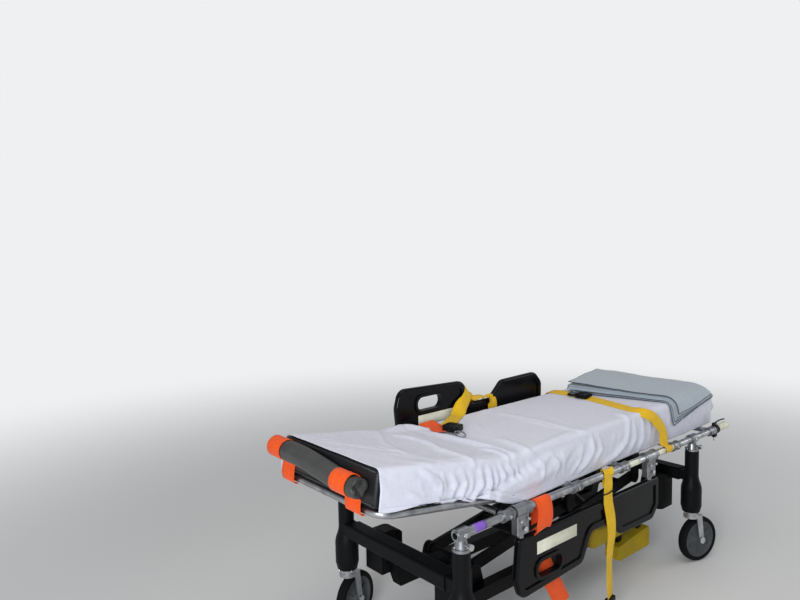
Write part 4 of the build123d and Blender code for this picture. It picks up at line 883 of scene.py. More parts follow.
# The creases that show, each with its width, its height and its (x, distance from the middle) points
CREASES = (
    (0.012, 0.004, (-0.612, 0.221), (-0.734, 0.032), (-0.765, -0.129)),
    (0.028, 0.016, (-0.545, 0.215), (-0.470, 0.244), (-0.407, 0.187)),
    (0.015, 0.010, (-0.603, 0.128), (-0.571, 0.034), (-0.609, -0.117), (-0.596, -0.259)),
    (0.017, 0.012, (-0.433, 0.158), (-0.413, -0.032), (-0.391, -0.148), (-0.392, -0.246)),
    (0.013, 0.004, (-0.774, 0.002), (-0.765, -0.129), (-0.726, -0.193)),
    (0.012, 0.006, (-0.523, 0.066), (-0.578, -0.047), (-0.586, -0.142)),
    (0.010, 0.009, (-0.437, -0.124), (-0.427, -0.174), (-0.430, -0.258)),
    (0.014, 0.003, (-0.824, -0.214), (-0.748, -0.258)),
    (0.015, 0.008, (-0.011, 0.141), (-0.008, -0.039), (-0.013, -0.220), (0.038, -0.275)),
    (0.015, 0.008, (-0.294, -0.093), (-0.323, -0.242), (-0.283, -0.291)),
    (0.013, 0.005, (-0.026, 0.036), (-0.033, -0.149)),
    (0.014, 0.006, (-0.295, -0.248), (-0.171, -0.235), (-0.020, -0.213)),
    (0.008, 0.008, (-0.816, -0.261), (-0.785, -0.285), (-0.764, -0.306)),
    (0.008, 0.009, (-0.785, -0.273), (-0.748, -0.303), (-0.749, -0.339)),
    (0.009, 0.007, (-0.737, -0.276), (-0.727, -0.326)),
    (0.009, 0.009, (-0.699, -0.283), (-0.683, -0.314), (-0.706, -0.353)),
    (0.009, 0.010, (-0.654, -0.275), (-0.638, -0.310), (-0.661, -0.356), (-0.678, -0.375)),
    (0.010, 0.014, (-0.573, -0.273), (-0.568, -0.325), (-0.610, -0.362), (-0.650, -0.383)),
    (0.009, 0.014, (-0.531, -0.277), (-0.528, -0.327), (-0.556, -0.385)),
    (0.008, 0.011, (-0.475, -0.268), (-0.462, -0.299), (-0.463, -0.334)),
    (0.008, 0.011, (-0.437, -0.275), (-0.417, -0.310), (-0.418, -0.341)),
    (0.008, 0.008, (-0.609, -0.287), (-0.615, -0.336), (-0.650, -0.367)),
    (0.014, 0.006, (-0.882, -0.326), (-0.823, -0.371)),
    (0.008, 0.010, (-0.500, -0.275), (-0.493, -0.313), (-0.503, -0.349)),
    (0.009, 0.009, (-0.397, -0.290), (-0.384, -0.348)),
    (0.010, 0.009, (-0.283, -0.291), (-0.268, -0.338), (-0.283, -0.373)),
    (0.010, 0.007, (-0.207, -0.290), (-0.184, -0.340), (-0.199, -0.380)),
    (0.010, 0.006, (-0.145, -0.300), (-0.136, -0.369)),
    (0.010, 0.008, (-0.021, -0.300), (-0.038, -0.345), (-0.088, -0.385)),
    (0.010, 0.013, (0.038, -0.262), (0.039, -0.327), (-0.004, -0.369), (-0.046, -0.390)),
    (0.010, 0.010, (0.083, -0.270), (0.101, -0.330), (0.066, -0.375)),
    (0.010, 0.014, (0.305, -0.190), (0.296, -0.225), (0.289, -0.282), (0.270, -0.339), (0.194, -0.382),
     (0.120, -0.398)),
    (0.009, 0.009, (0.339, -0.270), (0.340, -0.345), (0.301, -0.395)),
    (0.009, 0.010, (0.400, -0.268), (0.402, -0.350), (0.372, -0.400)),
    (0.009, 0.008, (0.442, -0.265), (0.465, -0.355)),
    (0.010, 0.008, (0.700, -0.290), (0.735, -0.385)),
    (0.010, 0.009, (0.800, -0.285), (0.790, -0.330), (0.845, -0.385)),
    (0.012, 0.009, (0.905, -0.300), (0.960, -0.380)),
)


def sheet_ridges():
    """The sheet's creases on its top and near side, with seeded ones between them and down the far side."""
    pick = random.Random(7)
    ridges = [(points, width, height * 1.25) for width, height, *points in CREASES]
    for number in range(16):
        x, y = pick.uniform(-0.93, 0.45), pick.uniform(-0.20, 0.18)
        turn = math.radians(pick.choice((100, 75, 60, 115, 20)) + pick.uniform(-10, 10))
        reach = pick.uniform(0.08, 0.20)
        end = (max(-0.97, x + reach * math.cos(turn)), y + reach * math.sin(turn))
        ridges.append((((x, y), end), pick.uniform(0.012, 0.022), pick.uniform(0.0015, 0.0035)))
    for side, count, strength in ((-1, 16, 0.6), (1, 40, 1.2)):
        for number in range(count):
            x = pick.gauss(-0.50, 0.17) if number % 2 else pick.uniform(-0.93, 0.95)
            x = min(0.96, max(-0.96, x))
            top, low = pick.uniform(0.262, 0.29), pick.uniform(0.34, 0.39)
            lean = pick.uniform(-0.04, 0.04)
            points = ((x, side * top), (x + 0.012, side * (top + low) / 2), (x + lean, side * low))
            ridges.append((points, pick.uniform(0.008, 0.013), pick.uniform(0.004, 0.008) * strength))
    return ridges


def sheet_spot(x, past, over, sign):
    """Where a point of the sheet lies before it settles, with the backrest flat. Past is how far it is past the
    foot edge, and over how far it is from the middle, both over the cloth."""
    bend, turn = min(past, SHEET_ARC) / SHOULDER, min(max(0.0, over - SHEET_FLAT), SHEET_ARC) / SHOULDER
    beyond, fall = max(0.0, past - SHEET_ARC), max(0.0, over - SHEET_FLAT - SHEET_ARC)
    x += SHOULDER * math.sin(bend)
    y = min(over, SHEET_FLAT) + SHOULDER * math.sin(turn)
    z = TOP_Z + 0.0015 - SHOULDER * (1 - math.cos(turn)) - fall
    inward = SHOULDER * (1 - math.cos(bend)) + beyond
    y -= inward * math.sin(turn) ** 2
    z -= inward * math.cos(turn) ** 2
    if fall:
        ripple = noise.noise(Vector((x * 16.0 + fall * 4.0, fall * 3.0, 1.3))) + 0.4 * noise.noise(
            Vector((x * 37.0 + fall * 9.0, fall * 5.0, 9.3)))
        y += (0.007 + 0.011 * ripple) * min(1.0, fall / 0.04) * (1 - min(1.0, past / 0.01))
        x += 0.002 * min(1.0, beyond / 0.01)
    if over < SHEET_FLAT:
        z += 0.004 * noise.noise(Vector((x * 7.0 + over * 4.0, over * 6.0 * sign, 7.7)))
    return x, sign * y, z


def sheet_slack(x, over, sign):
    """How loose the sheet is at a point: most down its sides and near the backrest's pivot."""
    patch = 0.5 + 0.5 * noise.noise(Vector((x * 3.1, over * sign * 2.7, 4.4)))
    bend = math.exp(-((x + 0.40) / 0.32) ** 2)
    if over < SHEET_FLAT - 0.03:
        return 0.10 + 0.16 * patch + 0.22 * bend
    return 0.55 + 0.45 * max(bend, patch)


def blanket_spot(share, side, level, bulge, ply):
    """A point of the folded blanket. Share runs from its head edge to its foot edge, side from far to near,
    and level counts the layers from the bottom."""
    far_head, far_foot, near_foot, near_head = (Vector(corner) for corner in BLANKET_TOP)
    head, foot = far_head.lerp(near_head, side), far_foot.lerp(near_foot, side)
    under = LAYERS - 1 - level
    spot = head.lerp(foot, share)
    spot -= (foot - head).normalized() * (
        under * 0.006 * (1 - share) - 0.004 * bulge * (1 if share > 0.5 else -1))
    x, reach = spot.x, -spot.y
    thick = ply * (1.0 + 0.9 * (1 - side) * (0.55 + 0.6 * share)) * (1 - 0.35 * side)
    wave = 0.004 * noise.noise(Vector((x * 7, spot.y * 6, 0.4 * level))) + 0.0016 * noise.noise(
        Vector((x * 22, spot.y * 20, 2.0 + level)))
    height = 0.006 + level * thick + wave * (0.4 + 0.3 * level) + 0.010 * math.sin(math.pi * share) * math.sin(
        math.pi * min(1.0, side * 1.1)) * level / 3
    bend = 0.022 + 0.019 * level * share
    edge = HALF_WIDTH - bend
    if reach <= edge:
        return Vector((x, spot.y, TOP_Z + height))
    radius, round_corner = bend + height, bend + 0.6 * height
    past = (reach - edge) * (1.0 + 0.115 * under)
    turn = min(past / round_corner, math.radians(84))
    beyond = max(0.0, past - round_corner * math.radians(84))
    return Vector((x, -edge - radius * math.sin(turn) - 0.1 * beyond,
                   TOP_Z - bend + radius * math.cos(turn) - beyond))


def roll_spot(run, turn, centre, tilt):
    """A point of the rolled carry sheet, from its run between the ends, and the angle round its middle."""
    cap, (low, high) = 0.03, ROLL_ENDS
    shrink = min(1.0, run / cap, (1 - run) / cap)
    y = low + (high - low) * clamp((run - cap) / (1 - 2 * cap))
    radius = (ROLL_R - 0.0035) * shrink
    spot = Vector((math.cos(turn), math.sin(turn), 0))
    loose = math.exp(-(y - low) / 0.030) + 0.5 * math.exp(-(high - y) / 0.030)
    crease = noise.noise(Vector((spot.x * 1.3, y * 9.0, spot.y * 1.3 + 3.1)))
    fold = noise.noise(Vector((spot.x * 1.7 + 5.0, y * 12.0, spot.y * 1.7)))
    lap = (turn / (2 * math.pi) + 0.18) % 1.0
    radius += shrink * (0.0014 * lap + 0.0016 * crease + loose * (0.0085 * fold - 0.0035))
    if shrink < 1:
        spiral = math.sin(2 * math.pi * (shrink * 3.5 + turn / (2 * math.pi)))
        inset = 0.012 * (1 - shrink) + 0.010 * noise.noise(spot * (1.6 * shrink) + Vector((2.0, 7.0, 0.0)))
        y += (inset - 0.0030 * spiral * shrink) * (1 if run < cap else -1)
    for band in BAND_Y:
        radius -= shrink * 0.0030 * math.exp(-((y - band) / 0.042) ** 4)
    return tilted(centre + Vector((math.cos(turn) * radius, y, math.sin(turn) * radius - roll_sag(y))), tilt)


# Straps and buckles

def yellow_near(sizes):
    """The near yellow strap: over the rail and down past the side arm."""
    over = [point + Vector((0.016 * (1 - math.sin(math.radians(turn))), 0, 0))
            for turn in range(-75, 91, 15) for point in round_rail(0.0590, [turn])]
    path = smooth_path([*YELLOW_INNER, *over, *YELLOW_FALL], 0.008)
    lean = [Vector((1, curve_at(YELLOW_LEAN, point.z) if point.y < -RAIL_Y else 0.0, 0)) for point in path]
    strap("yellow_strap_near", [(path, lean)], "webbing_yellow", "top", sizes.width, sizes.thickness,
          replaces=["strap_near_yellow"])


def orange_near(sizes):
    """The near orange strap: over the rail, behind the side arm and out below it."""
    inner, fall = ([(ORANGE_X + x, y, z) for x, y, z in points] for points in (ORANGE_INNER, ORANGE_FALL))
    path = smooth_path([*inner, *round_rail(ORANGE_X, range(-95, 100, 15)), *fall], 0.006)
    lean = [Vector((1, 0, curve_at(ORANGE_LEAN, point.z) if point.y < -RAIL_Y or point.z < 0.47 else 0))
            for point in path]
    strap("orange_strap_near", [(path, lean)], "webbing_orange", "top", sizes.band, sizes.thickness,
          replaces=["strap_near_orange"])


def yellow_foot(sizes, lie):
    """The yellow strap across the foot half, from rail to rail over the sheet."""
    path = smooth_path([*reversed(round_rail(0.443, range(-90, 91, 15), side=1)), *FOOT_FAR,
                        *(lie(x, y, 0.0048) for x, y in FOOT_TOP), *FOOT_NEAR,
                        *round_rail(0.513, range(-30, 151, 15))], 0.008)
    aim = []
    for row, point in enumerate(path):
        side = math.copysign(1, point.y)
        if abs(point.y) > RAIL_Y - 0.002:
            outward = Vector((0, point.y - side * RAIL_Y, point.z - RAIL_Z))
        elif abs(point.y) > 0.2785 and point.z < 0.60:
            outward = Vector((0, side * 0.6, 0.8))
        else:
            rise = max(0.0005, point.z - TOP_Z + SHOULDER)
            outward = Vector((-0.16 * rise, side * max(0.0, abs(point.y) - HALF_WIDTH + SHOULDER), rise))
        across = heading(path, row).cross(outward).normalized()
        aim.append(across if not aim or across.dot(aim[-1]) > 0 else -across)
    strap("yellow_strap_foot", [(path, evened(aim, 6))], "webbing_yellow", "top", sizes.width, sizes.thickness,
          replaces=["strap_foot"])


def foot_buckle(lie):
    """The foot strap's buckle with its tongue and the wire that joins them."""
    bm = bmesh.new()
    place = Matrix.Translation(lie(0.455, 0.069, 0.012)) @ Matrix.Rotation(math.radians(7), 4, "Z")
    add_buckle(bm, place, 0.066, 0.062, 0.017)
    add_buckle(bm, place @ Matrix.Translation((0.004, 0.052, -0.003)), 0.048, 0.050, 0.010)
    finished("buckle_foot", bm, ["buckle_black"], "top", replaces=["strap_foot_buckle"])
    bm = bmesh.new()
    add_wire(bm, [place @ Vector(spot) for spot in BUCKLE_WIRE], 0.0014)
    finished("buckle_wire", bm, ["cast_alloy"], "top")


def yellow_far(sizes, lie):
    """The far yellow strap: over the edge of the side arm's notch and onto the sheet, its end in the notch."""
    path = smooth_path([*FAR_EDGE, *(lie(*spot) for spot in FAR_LAID)], 0.006)
    lean = []
    for row, point in enumerate(path):
        turn = clamp((PANEL_Y - point.y) / 0.035)
        flat = heading(path, row).cross(Vector((0, -1, 0)).lerp(Vector((0, 0, 1)), turn)).normalized()
        lean.append(FAR_RIM.lerp(flat if flat.x > 0 else -flat, min(1.0, turn * 2)))
    end = smooth_path(FAR_END, 0.005)
    tip = [Vector((0.85, 0, -0.5)).lerp(Vector((1, 0, 0)), clamp((0.764 - point.z) / 0.03))
           if point.z < 0.764 and point.x > 0.05 else Vector((0.15, 1, 0)) for point in end]
    strap("yellow_strap_far", [(path, evened(lean, 5)), (end, tip)], "webbing_yellow", "arm_far",
          sizes.width + 0.008, sizes.thickness, replaces=["strap_far"])


def orange_far(sizes, lie):
    """The orange piece on the sheet by the far side arm, with its buckle and ring."""
    path = smooth_path([lie(x, y, 0.004) + Vector((0, 0, lift)) for x, y, lift in FAR_ORANGE], 0.006)
    strap("orange_strap_far", [(path, (1, -0.12, 0.0))], "webbing_orange", "top", sizes.band, sizes.thickness)
    bm = bmesh.new()
    place = Matrix.Translation(lie(-0.350, 0.094, 0.018)) @ Matrix.Rotation(math.radians(13), 4, "Z")
    add_buckle(bm, place, 0.062, 0.068, 0.022)
    finished("buckle_far", bm, ["buckle_black"], "top")
    bm = bmesh.new()
    place = Matrix.Translation(lie(-0.376, 0.030, 0.011)) @ Matrix.Rotation(math.radians(-24), 4, "Z")
    loop = []
    for turn in [*range(0, 360, 20), 0]:
        long, wide = legs(1.0, turn)
        loop.append(place @ Vector((0.019 * long, 0.030 * wide, 0.003 * wide)))
    add_wire(bm, loop, 0.0026)
    finished("buckle_ring", bm, ["cast_alloy"], "top")


def near_keeper(sizes):
    """The wire keeper and the black end of the near yellow strap."""
    bm = bmesh.new()
    wide, deep = Vector((1, -0.06, 0.12)).normalized(), Vector((0.06, 1, 0)).normalized()
    middle = Vector((0.0512, -0.3215, 0.499))
    ring = [middle + wide * a + deep * b + Vector((0, 0, c)) for a, b, c in KEEPER_RING]
    add_wire(bm, smooth_path(ring, 0.004), 0.0024)
    add_box(bm, (0.044, -0.3290, sizes.hang - 0.010), (0.096, -0.3140, sizes.hang + 0.008), 0.0015)
    finished("strap_keeper", bm, ["buckle_black"], "top")


# Small fittings

def wheel_place(corner):
    """A castor wheel's place, its Z along the axle."""
    joint = JOINTS["roll_" + corner]
    axle = Vector(joint["axis"]).to_track_quat("Z", "X").to_matrix().to_4x4()
    return Matrix.Translation(joint["pos_m"]) @ axle


def on_rail(x, side):
    """A place on a rail's middle line, its Z along the rail."""
    return Matrix.Translation((x, side * RAIL_Y, RAIL_Z)) @ Matrix.Rotation(math.pi / 2, 4, "Y")


def grips():
    """The ribbed hand grips at the foot end."""
    grip_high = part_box("hand_grips")[1]
    radius = grip_high.z - RAIL_Z
    outside = [(0.0137, 0.0), (0.0165, 0.002), (radius, 0.006), (radius, 0.009)]
    for ring in range(12):
        start = 0.012 + ring * 0.006
        outside += [(radius, start), (radius - 0.0011, start + 0.0012), (radius - 0.0011, start + 0.0026),
                    (radius, start + 0.0038)]
    outside += [(radius, GRIP_LONG - 0.008), (radius - 0.001, GRIP_LONG - 0.003),
                (radius - 0.005, GRIP_LONG - 0.0005), (0.004, GRIP_LONG), (0.0, GRIP_LONG),
                (0.0, GRIP_LONG - 0.012), (0.0137, GRIP_LONG - 0.012)]
    bm = bmesh.new()
    for side in SIDES:
        add_lathe(bm, outside, on_rail(grip_high.x - GRIP_LONG, side), steps=48)
    keep_sharp(finished("grips", bm, ["grip_cream"], "top", replaces=["hand_grips"]), 40)


def grip_clamps():
    """The black clamps behind the grips, and the levers that reach along them."""
    bm = bmesh.new()
    for side in SIDES:
        y = side * RAIL_Y
        add_lathe(bm, CLAMP, on_rail(CLAMP_X, side), steps=40)
        add_box(bm, (CLAMP_X + 0.004, y - 0.009, RAIL_Z - 0.034), (CLAMP_X + 0.027, y + 0.009, RAIL_Z - 0.017),
                0.0025)
    keep_sharp(finished("clamps", bm, ["buckle_black"], "top", replaces=["grip_clamps"]), 40)
    bm = bmesh.new()
    for side in SIDES:
        y = side * RAIL_Y
        lever = [(CLAMP_X + run, side * (RAIL_Y - inward), RAIL_Z + up) for run, inward, up in (
            (0.011, 0, 0.024), (0.025, 0, 0.030), (0.065, 0.003, 0.0325), (0.120, 0.005, 0.029))]
        add_wire(bm, smooth_path(lever, 0.008), 0.0034)
        add_box(bm, (CLAMP_X + 0.001, y - 0.007, RAIL_Z + 0.018), (CLAMP_X + 0.025, y + 0.007, RAIL_Z + 0.032),
                0.003)
    finished("release_levers", bm, ["buckle_black"], "top")


def bracket_nuts():
    """The nuts and screws of the leg brackets and the grips' clamps."""
    bm = bmesh.new()
    for side in SIDES:
        x, y = CLAMP_X + 0.0155, side * RAIL_Y
        add_hex(bm, (x, y, RAIL_Z - 0.033), (0, 0, -0.008), 0.0075)
        add_rod(bm, (x, y, RAIL_Z - 0.040), (x, y, RAIL_Z - 0.052), 0.0035, bevel=0.0008)
        for x in LEG_X:
            add_hex(bm, (x, side * (RAIL_Y + 0.0155), RAIL_Z), (0, side * 0.007, 0), 0.0075)
            for turn in (35, 145, 215, 325):
                ahead, out = legs(0.0225, turn)
                add_hex(bm, (x + ahead, side * (RAIL_Y + out), RAIL_Z - 0.043), (0, 0, 0.0035), 0.0042)
    finished("bracket_nuts", bm, ["bright_steel"], "top")


def knuckle_bolts(arm, side, up):
    """The bolts on one side arm's knuckles. Up is 1 where the arm stands and -1 where it hangs."""
    bm = bmesh.new()
    for x in KNUCKLES:
        for ahead in (-0.020, 0.020):
            add_hex(bm, (x + ahead, side * (RAIL_Y + 0.0195), RAIL_Z + up * 0.030),
                    (0, side * 0.005, 0), 0.0055)
        pin = Vector((x + 0.004, side * (RAIL_Y + 0.0193), RAIL_Z + up * 0.062))
        add_rod(bm, pin, pin + Vector((0, side * 0.0045, 0)), 0.0085, bevel=0.0012)
    finished("knuckle_bolts_" + arm, bm, ["bright_steel"], "arm_" + arm)


def pivot_fittings(tilt):
    """The elbows that hold the backrest's tube at its pivot, and their nuts."""
    bm = bmesh.new()
    for side in SIDES:
        add_rod(bm, (PIVOT.x, side * 0.2445, PIVOT.z), (PIVOT.x, side * 0.273, PIVOT.z), 0.0155, bevel=0.003)
        start, end = (tilted(PIVOT + Vector((x, side * 0.250, 0)), tilt) for x in (-0.004, -0.050))
        add_rod(bm, start, end, 0.0148, bevel=0.002)
    finished("pivot_elbows", bm, ["cast_alloy"], "backrest")
    bm = bmesh.new()
    for side in SIDES:
        add_hex(bm, (PIVOT.x, side * 0.2725, PIVOT.z), (0, side * 0.0033, 0), 0.0095)
    finished("pivot_nuts", bm, ["bright_steel"], "backrest")


def blank_labels():
    """The blank labels on the near rail and both side arms, and the rail's marking tape."""
    on_paint = RAIL_R + 0.0003
    bm = bmesh.new()
    for low, high in ((0.205, 0.290), (0.436, 0.478), (0.545, 0.598)):
        add_wrap(bm, low, high, on_paint, 25, 125)
    thicken(finished("rail_labels", bm, ["label_cream"], "top"), 0.0004)
    bm = bmesh.new()
    add_wrap(bm, -0.657, -0.605, on_paint, -178, 178)
    thicken(finished("rail_tape", bm, ["tape_violet"], "top"), 0.0004)
    for arm, low, high in (("near", (-0.352, -0.3089, 0.3815), (-0.127, -0.3081, 0.4255)),
                           ("far", (-0.346, 0.2931, 0.7015), (-0.112, 0.2939, 0.7480))):
        bm = bmesh.new()
        add_box(bm, low, high, 0.0003, segments=1)
        finished("panel_label_" + arm, bm, ["label_cream"], "arm_" + arm)


def castor_bolts(corner):
    """A castor's axle caps and the screws round its swivel."""
    place = wheel_place(corner)
    bm = bmesh.new()
    for side in SIDES:
        add_rod(bm, place @ Vector((0, 0, side * 0.0300)), place @ Vector((0, 0, side * 0.0335)), 0.0145,
                bevel=0.001)
    swivel = Vector(JOINTS["swivel_" + corner]["pos_m"])
    for turn in range(30, 360, 60):
        add_hex(bm, swivel + Vector((*legs(0.0275, turn), -0.0085)), (*legs(0.006, turn), 0), 0.0040)
    finished("castor_bolts_" + corner, bm, ["bright_steel"], "castor_" + corner)


# Operators, one for each step of the build

class STRETCHER_OT_finishes(bpy.types.Operator):
    """Makes the materials and puts them on the metal and moulded parts"""
    bl_idname = "stretcher.finishes"
    bl_label = "Finishes"

    def execute(self, context):
        make_finishes(context.scene.stretcher_colours)
        for entry in frame["record"]["subparts"]:
            node = frame["nodes"][entry["node"]]
            node.data.materials.clear()
            # The top frame takes the black powder coat instead of its own slot's finish: painted shade, standing
            # in for the shadow it lies in under the mattress.
            slot = "chassis_black" if entry["node"] == "top_frame" else entry["material_slot"]
            node.data.materials.append(FINISHES[slot])
        return {"FINISHED"}


class STRETCHER_OT_castors(bpy.types.Operator):
    """Builds the rounded tyres and dished hubs of the four castors"""
    bl_idname = "stretcher.castors"
    bl_label = "Castors"

    def execute(self, context):
        for corner in CORNERS:
            place = wheel_place(corner)
            bm = bmesh.new()
            add_wheel_rim(bm, TREAD, place, 96)
            keep_sharp(finished("tyre_" + corner, bm, ["tyre_black"], "wheel_" + corner,
                                replaces=["castor_tyre_" + corner]))
            bm = bmesh.new()
            add_wheel_rim(bm, HUB_SIDE, place, 72)
            for number in range(6):
                spoke = place @ Matrix.Rotation(number * math.pi / 3, 4, "Z")
                for side in SIDES:
                    add_block(bm, spoke @ Matrix.Translation((0.045, 0, side * 0.006))
                              @ Matrix.Diagonal((0.052, 0.006, 0.007, 1)), 0.0015)
            keep_sharp(finished("hub_" + corner, bm, ["hub_grey"], "wheel_" + corner,
                                replaces=["castor_hub_" + corner]))
        return {"FINISHED"}


class STRETCHER_OT_mattress(bpy.types.Operator):
    """Builds the vinyl mattress cover with its piping, bent over the backrest's pivot"""
    bl_idname = "stretcher.mattress"
    bl_label = "Mattress cover"

    def execute(self, context):
        tilt = context.scene.stretcher_cloth.rest_tilt
        bottom, cuts = MAIN_LOW.z + 0.002, 40
        bm = bmesh.new()
        add_box(bm, (HEAD_X, -HALF_WIDTH + 0.003, bottom),
                (FOOT_X - 0.006, HALF_WIDTH - 0.003, TOP_Z - 0.003))
        for cut in range(1, cuts):
            x = HEAD_X + (FOOT_X - HEAD_X) * cut / cuts
            bmesh.ops.bisect_plane(bm, geom=bm.verts[:] + bm.edges[:] + bm.faces[:], plane_co=(x, 0, 0),
                                   plane_no=(1, 0, 0))
        rims = [edge for edge in bm.edges if len(edge.link_faces) == 2 and edge.calc_face_angle() > 0.5]
        round_edges(bm, rims, 0.014, 4)
        for vert in bm.verts:
            if vert.co.x < PIVOT.x and vert.co.z < bottom + 0.03:
                vert.co.z += 0.005
            vert.co = turn_with_backrest(vert.co, tilt)
        cover = keep_sharp(finished("mattress_cover", bm, ["foam_cover"]), 60)
        bend_with_backrest(cover)
        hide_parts("mattress_main", "mattress_head", "mattress_fold")
        bm = bmesh.new()
        for level in (TOP_Z - 0.010, MAIN_LOW.z + 0.018):
            piping = [(HEAD_X + 0.010, -HALF_WIDTH + 0.0025, level), (HEAD_X, -HALF_WIDTH + 0.012, level),
                      (HEAD_X, HALF_WIDTH - 0.012, level), (HEAD_X + 0.010, HALF_WIDTH - 0.0025, level)]
            add_wire(bm, [tilted(point, tilt) for point in piping], 0.003, sides=10)
        finished("mattress_piping", bm, ["foam_cover"], "backrest")
        return {"FINISHED"}


class STRETCHER_OT_sheet(bpy.types.Operator):
    """Drapes the cotton sheet over the mattress and lets it wrinkle"""
    bl_idname = "stretcher.sheet"
    bl_label = "Sheet"

    def execute(self, context):
        sizes = context.scene.stretcher_cloth
        start, end = HEAD_X + 0.001, FOOT_X + 0.001
        long, wide = end - start + sizes.tuck, 2 * (SHEET_FLAT + SHEET_ARC + 0.155 - SHOULDER)
        bm = bmesh.new()
        grid = add_grid(bm, round(long / sizes.cell), round(wide / sizes.cell))
        lay_uv(bm, long, wide)
        gone, slack, pinned = [], {}, set()
        for vert in grid:
            run, share = (vert.co.x + 0.5) * long, 2 * vert.co.y
            x, past = min(start + run, end - SHOULDER), max(0.0, start + run - end + SHOULDER)
            over = abs(share) * (SHEET_FLAT + SHEET_ARC + curve_at(HEM, x) - SHOULDER)
            sign = math.copysign(1, share)
            if past > sizes.corner and over > SHEET_FLAT + SHEET_ARC + sizes.cell:
                gone.append(vert)
                continue
            x, y, z = sheet_spot(x, past, over, sign)
            vert.co = turn_with_backrest(Vector((x, y, z)), sizes.rest_tilt)
            slack[vert] = sheet_slack(x, over, sign) * min(1.0, run / 0.10)
            if run < 0.3 * sizes.cell:
                pinned.add(vert)
        bmesh.ops.delete(bm, geom=gone, context="VERTS")
        bm.verts.index_update()
        slack = {vert.index: weight for vert, weight in slack.items() if vert.is_valid}
        pinned = [vert.index for vert in pinned if vert.is_valid]
        sheet = finished("cotton_sheet", bm, ["sheet_white"])
        loosened = sheet.vertex_groups.new(name="Slack")
        for index, weight in slack.items():
            loosened.add([index], weight, "REPLACE")
        sheet.vertex_groups.new(name="Pinned").add(pinned, 1.0, "REPLACE")
        hard = [bpy.data.objects["mattress_cover"], *(frame["nodes"][name] for name in (
            "rail_near", "rail_far", "backrest_frame", "rail_sleeves", "deck", "backrest_deck"))]
        settle(sheet, hard, 46, swell=0.13, bending=0.06)
        refine(sheet)
        wrinkle(sheet, sheet_ridges(), lowest=0.0006)
        bend_with_backrest(sheet)
        thicken(sheet, 0.0008)
        return {"FINISHED"}


class STRETCHER_OT_blanket(bpy.types.Operator):
    """Lays the folded blanket on the foot end, its near corner drooping over the mattress"""
    bl_idname = "stretcher.blanket"
    bl_label = "Blanket"

    def execute(self, context):
        sizes = context.scene.stretcher_cloth
        rows = LAYERS * DEEP + (LAYERS - 1) * FOLD
        seam = 0.008
        bm = bmesh.new()
        grid = add_grid(bm, rows, ACROSS)
        lay_uv(bm, BLANKET_LONG, BLANKET_WIDE)
        for face in bm.faces:
            # The outermost faces along both sides take the second, darker edge finish.
            face.material_index = 1 if max(abs(vert.co.y) for vert in face.verts) > 0.499 else 0
        for vert in grid:
            number, inside = divmod(round((vert.co.x + 0.5) * rows), DEEP + FOLD)
            side = clamp(seam + ((vert.co.y + 0.5) * ACROSS - 1) / (ACROSS - 2) * (1 - 2 * seam))
            if inside <= DEEP:
                share, level, bulge = inside / DEEP, float(number), 0.0
            else:
                turn = (inside - DEEP) / FOLD * math.pi
                share, level, bulge = 1.0, number + 0.5 - 0.5 * math.cos(turn), math.sin(turn)
            if number % 2:
                share, bulge = 1 - share, -bulge
            vert.co = blanket_spot(share, side, level, bulge, sizes.ply)
        blanket = finished("folded_blanket", bm, ["blanket_blue", "blanket_hem"], "top", replaces=["blanket"])
        # The rims of the thickened blanket take that darker edge finish too.
        thicken(blanket, 0.0042, offset=0).material_offset_rim = 1
        soften(blanket, 0.0014)
        return {"FINISHED"}


class STRETCHER_OT_roll(bpy.types.Operator):
    """Builds the rolled carry sheet across the head end and its orange bands"""
    bl_idname = "stretcher.roll"
    bl_label = "Carry sheet roll"

    def execute(self, context):
        tilt = context.scene.stretcher_cloth.rest_tilt
        straps = context.scene.stretcher_straps
        centre = Vector((HEAD_X - ROLL_R - 0.0005, 0, PIVOT.z + ROLL_LIFT))
        bm = bmesh.new()
        for vert in add_grid(bm, 130, 72):
            vert.co = roll_spot(vert.co.x + 0.5, (vert.co.y + 0.5) * 2 * math.pi, centre, tilt)
        bmesh.ops.remove_doubles(bm, verts=bm.verts[:], dist=0.00012)
        bmesh.ops.recalc_face_normals(bm, faces=bm.faces[:])
        roll = finished("carry_sheet", bm, ["vinyl_charcoal"], "backrest", replaces=["carry_sheet_roll"])
        for number, y in enumerate(BAND_Y):
            face = HEAD_X - 0.0022
            centre.z = PIVOT.z + ROLL_LIFT - roll_sag(y)
            wrap = []
            for turn in range(-52, 300, 8):
                ahead, up = legs(1.0, turn)
                wrap.append(centre + (ROLL_R - 0.0022) * Vector((ahead, 0, up)))
            tail = [Vector((face, 0, centre.z - ROLL_R - 0.012))]
            tail += [Vector((face + ahead, 0, PIVOT.z + up)) for ahead, up in (
                (0, 0.030), (-0.001, 0.014), (0.002, -0.002), (0.009, -0.0142), (0.02, -0.0156))]
            routes = []
            for path in (wrap, smooth_path([wrap[0], *tail], 0.006)):
                placed = [tilted(point + Vector((0, y + 0.002 * noise.noise(point * 30), 0)), tilt)
                          for point in path]
                routes.append((placed, (0, 1, 0)))
            strap("roll_band_%d" % number, routes, "webbing_orange", "backrest", straps.band,
                  straps.thickness, replaces=["roll_bands"] if number == 0 else ())
        return {"FINISHED"}


class STRETCHER_OT_straps(bpy.types.Operator):
    """Lays and hangs the yellow and orange straps with their buckles"""
    bl_idname = "stretcher.straps"
    bl_label = "Straps"

    def execute(self, context):
        sizes = context.scene.stretcher_straps
        lie = lying_on("cotton_sheet")
        yellow_near(sizes)
        orange_near(sizes)
        yellow_foot(sizes, lie)
        foot_buckle(lie)
        yellow_far(sizes, lie)
        orange_far(sizes, lie)
        near_keeper(sizes)
        return {"FINISHED"}


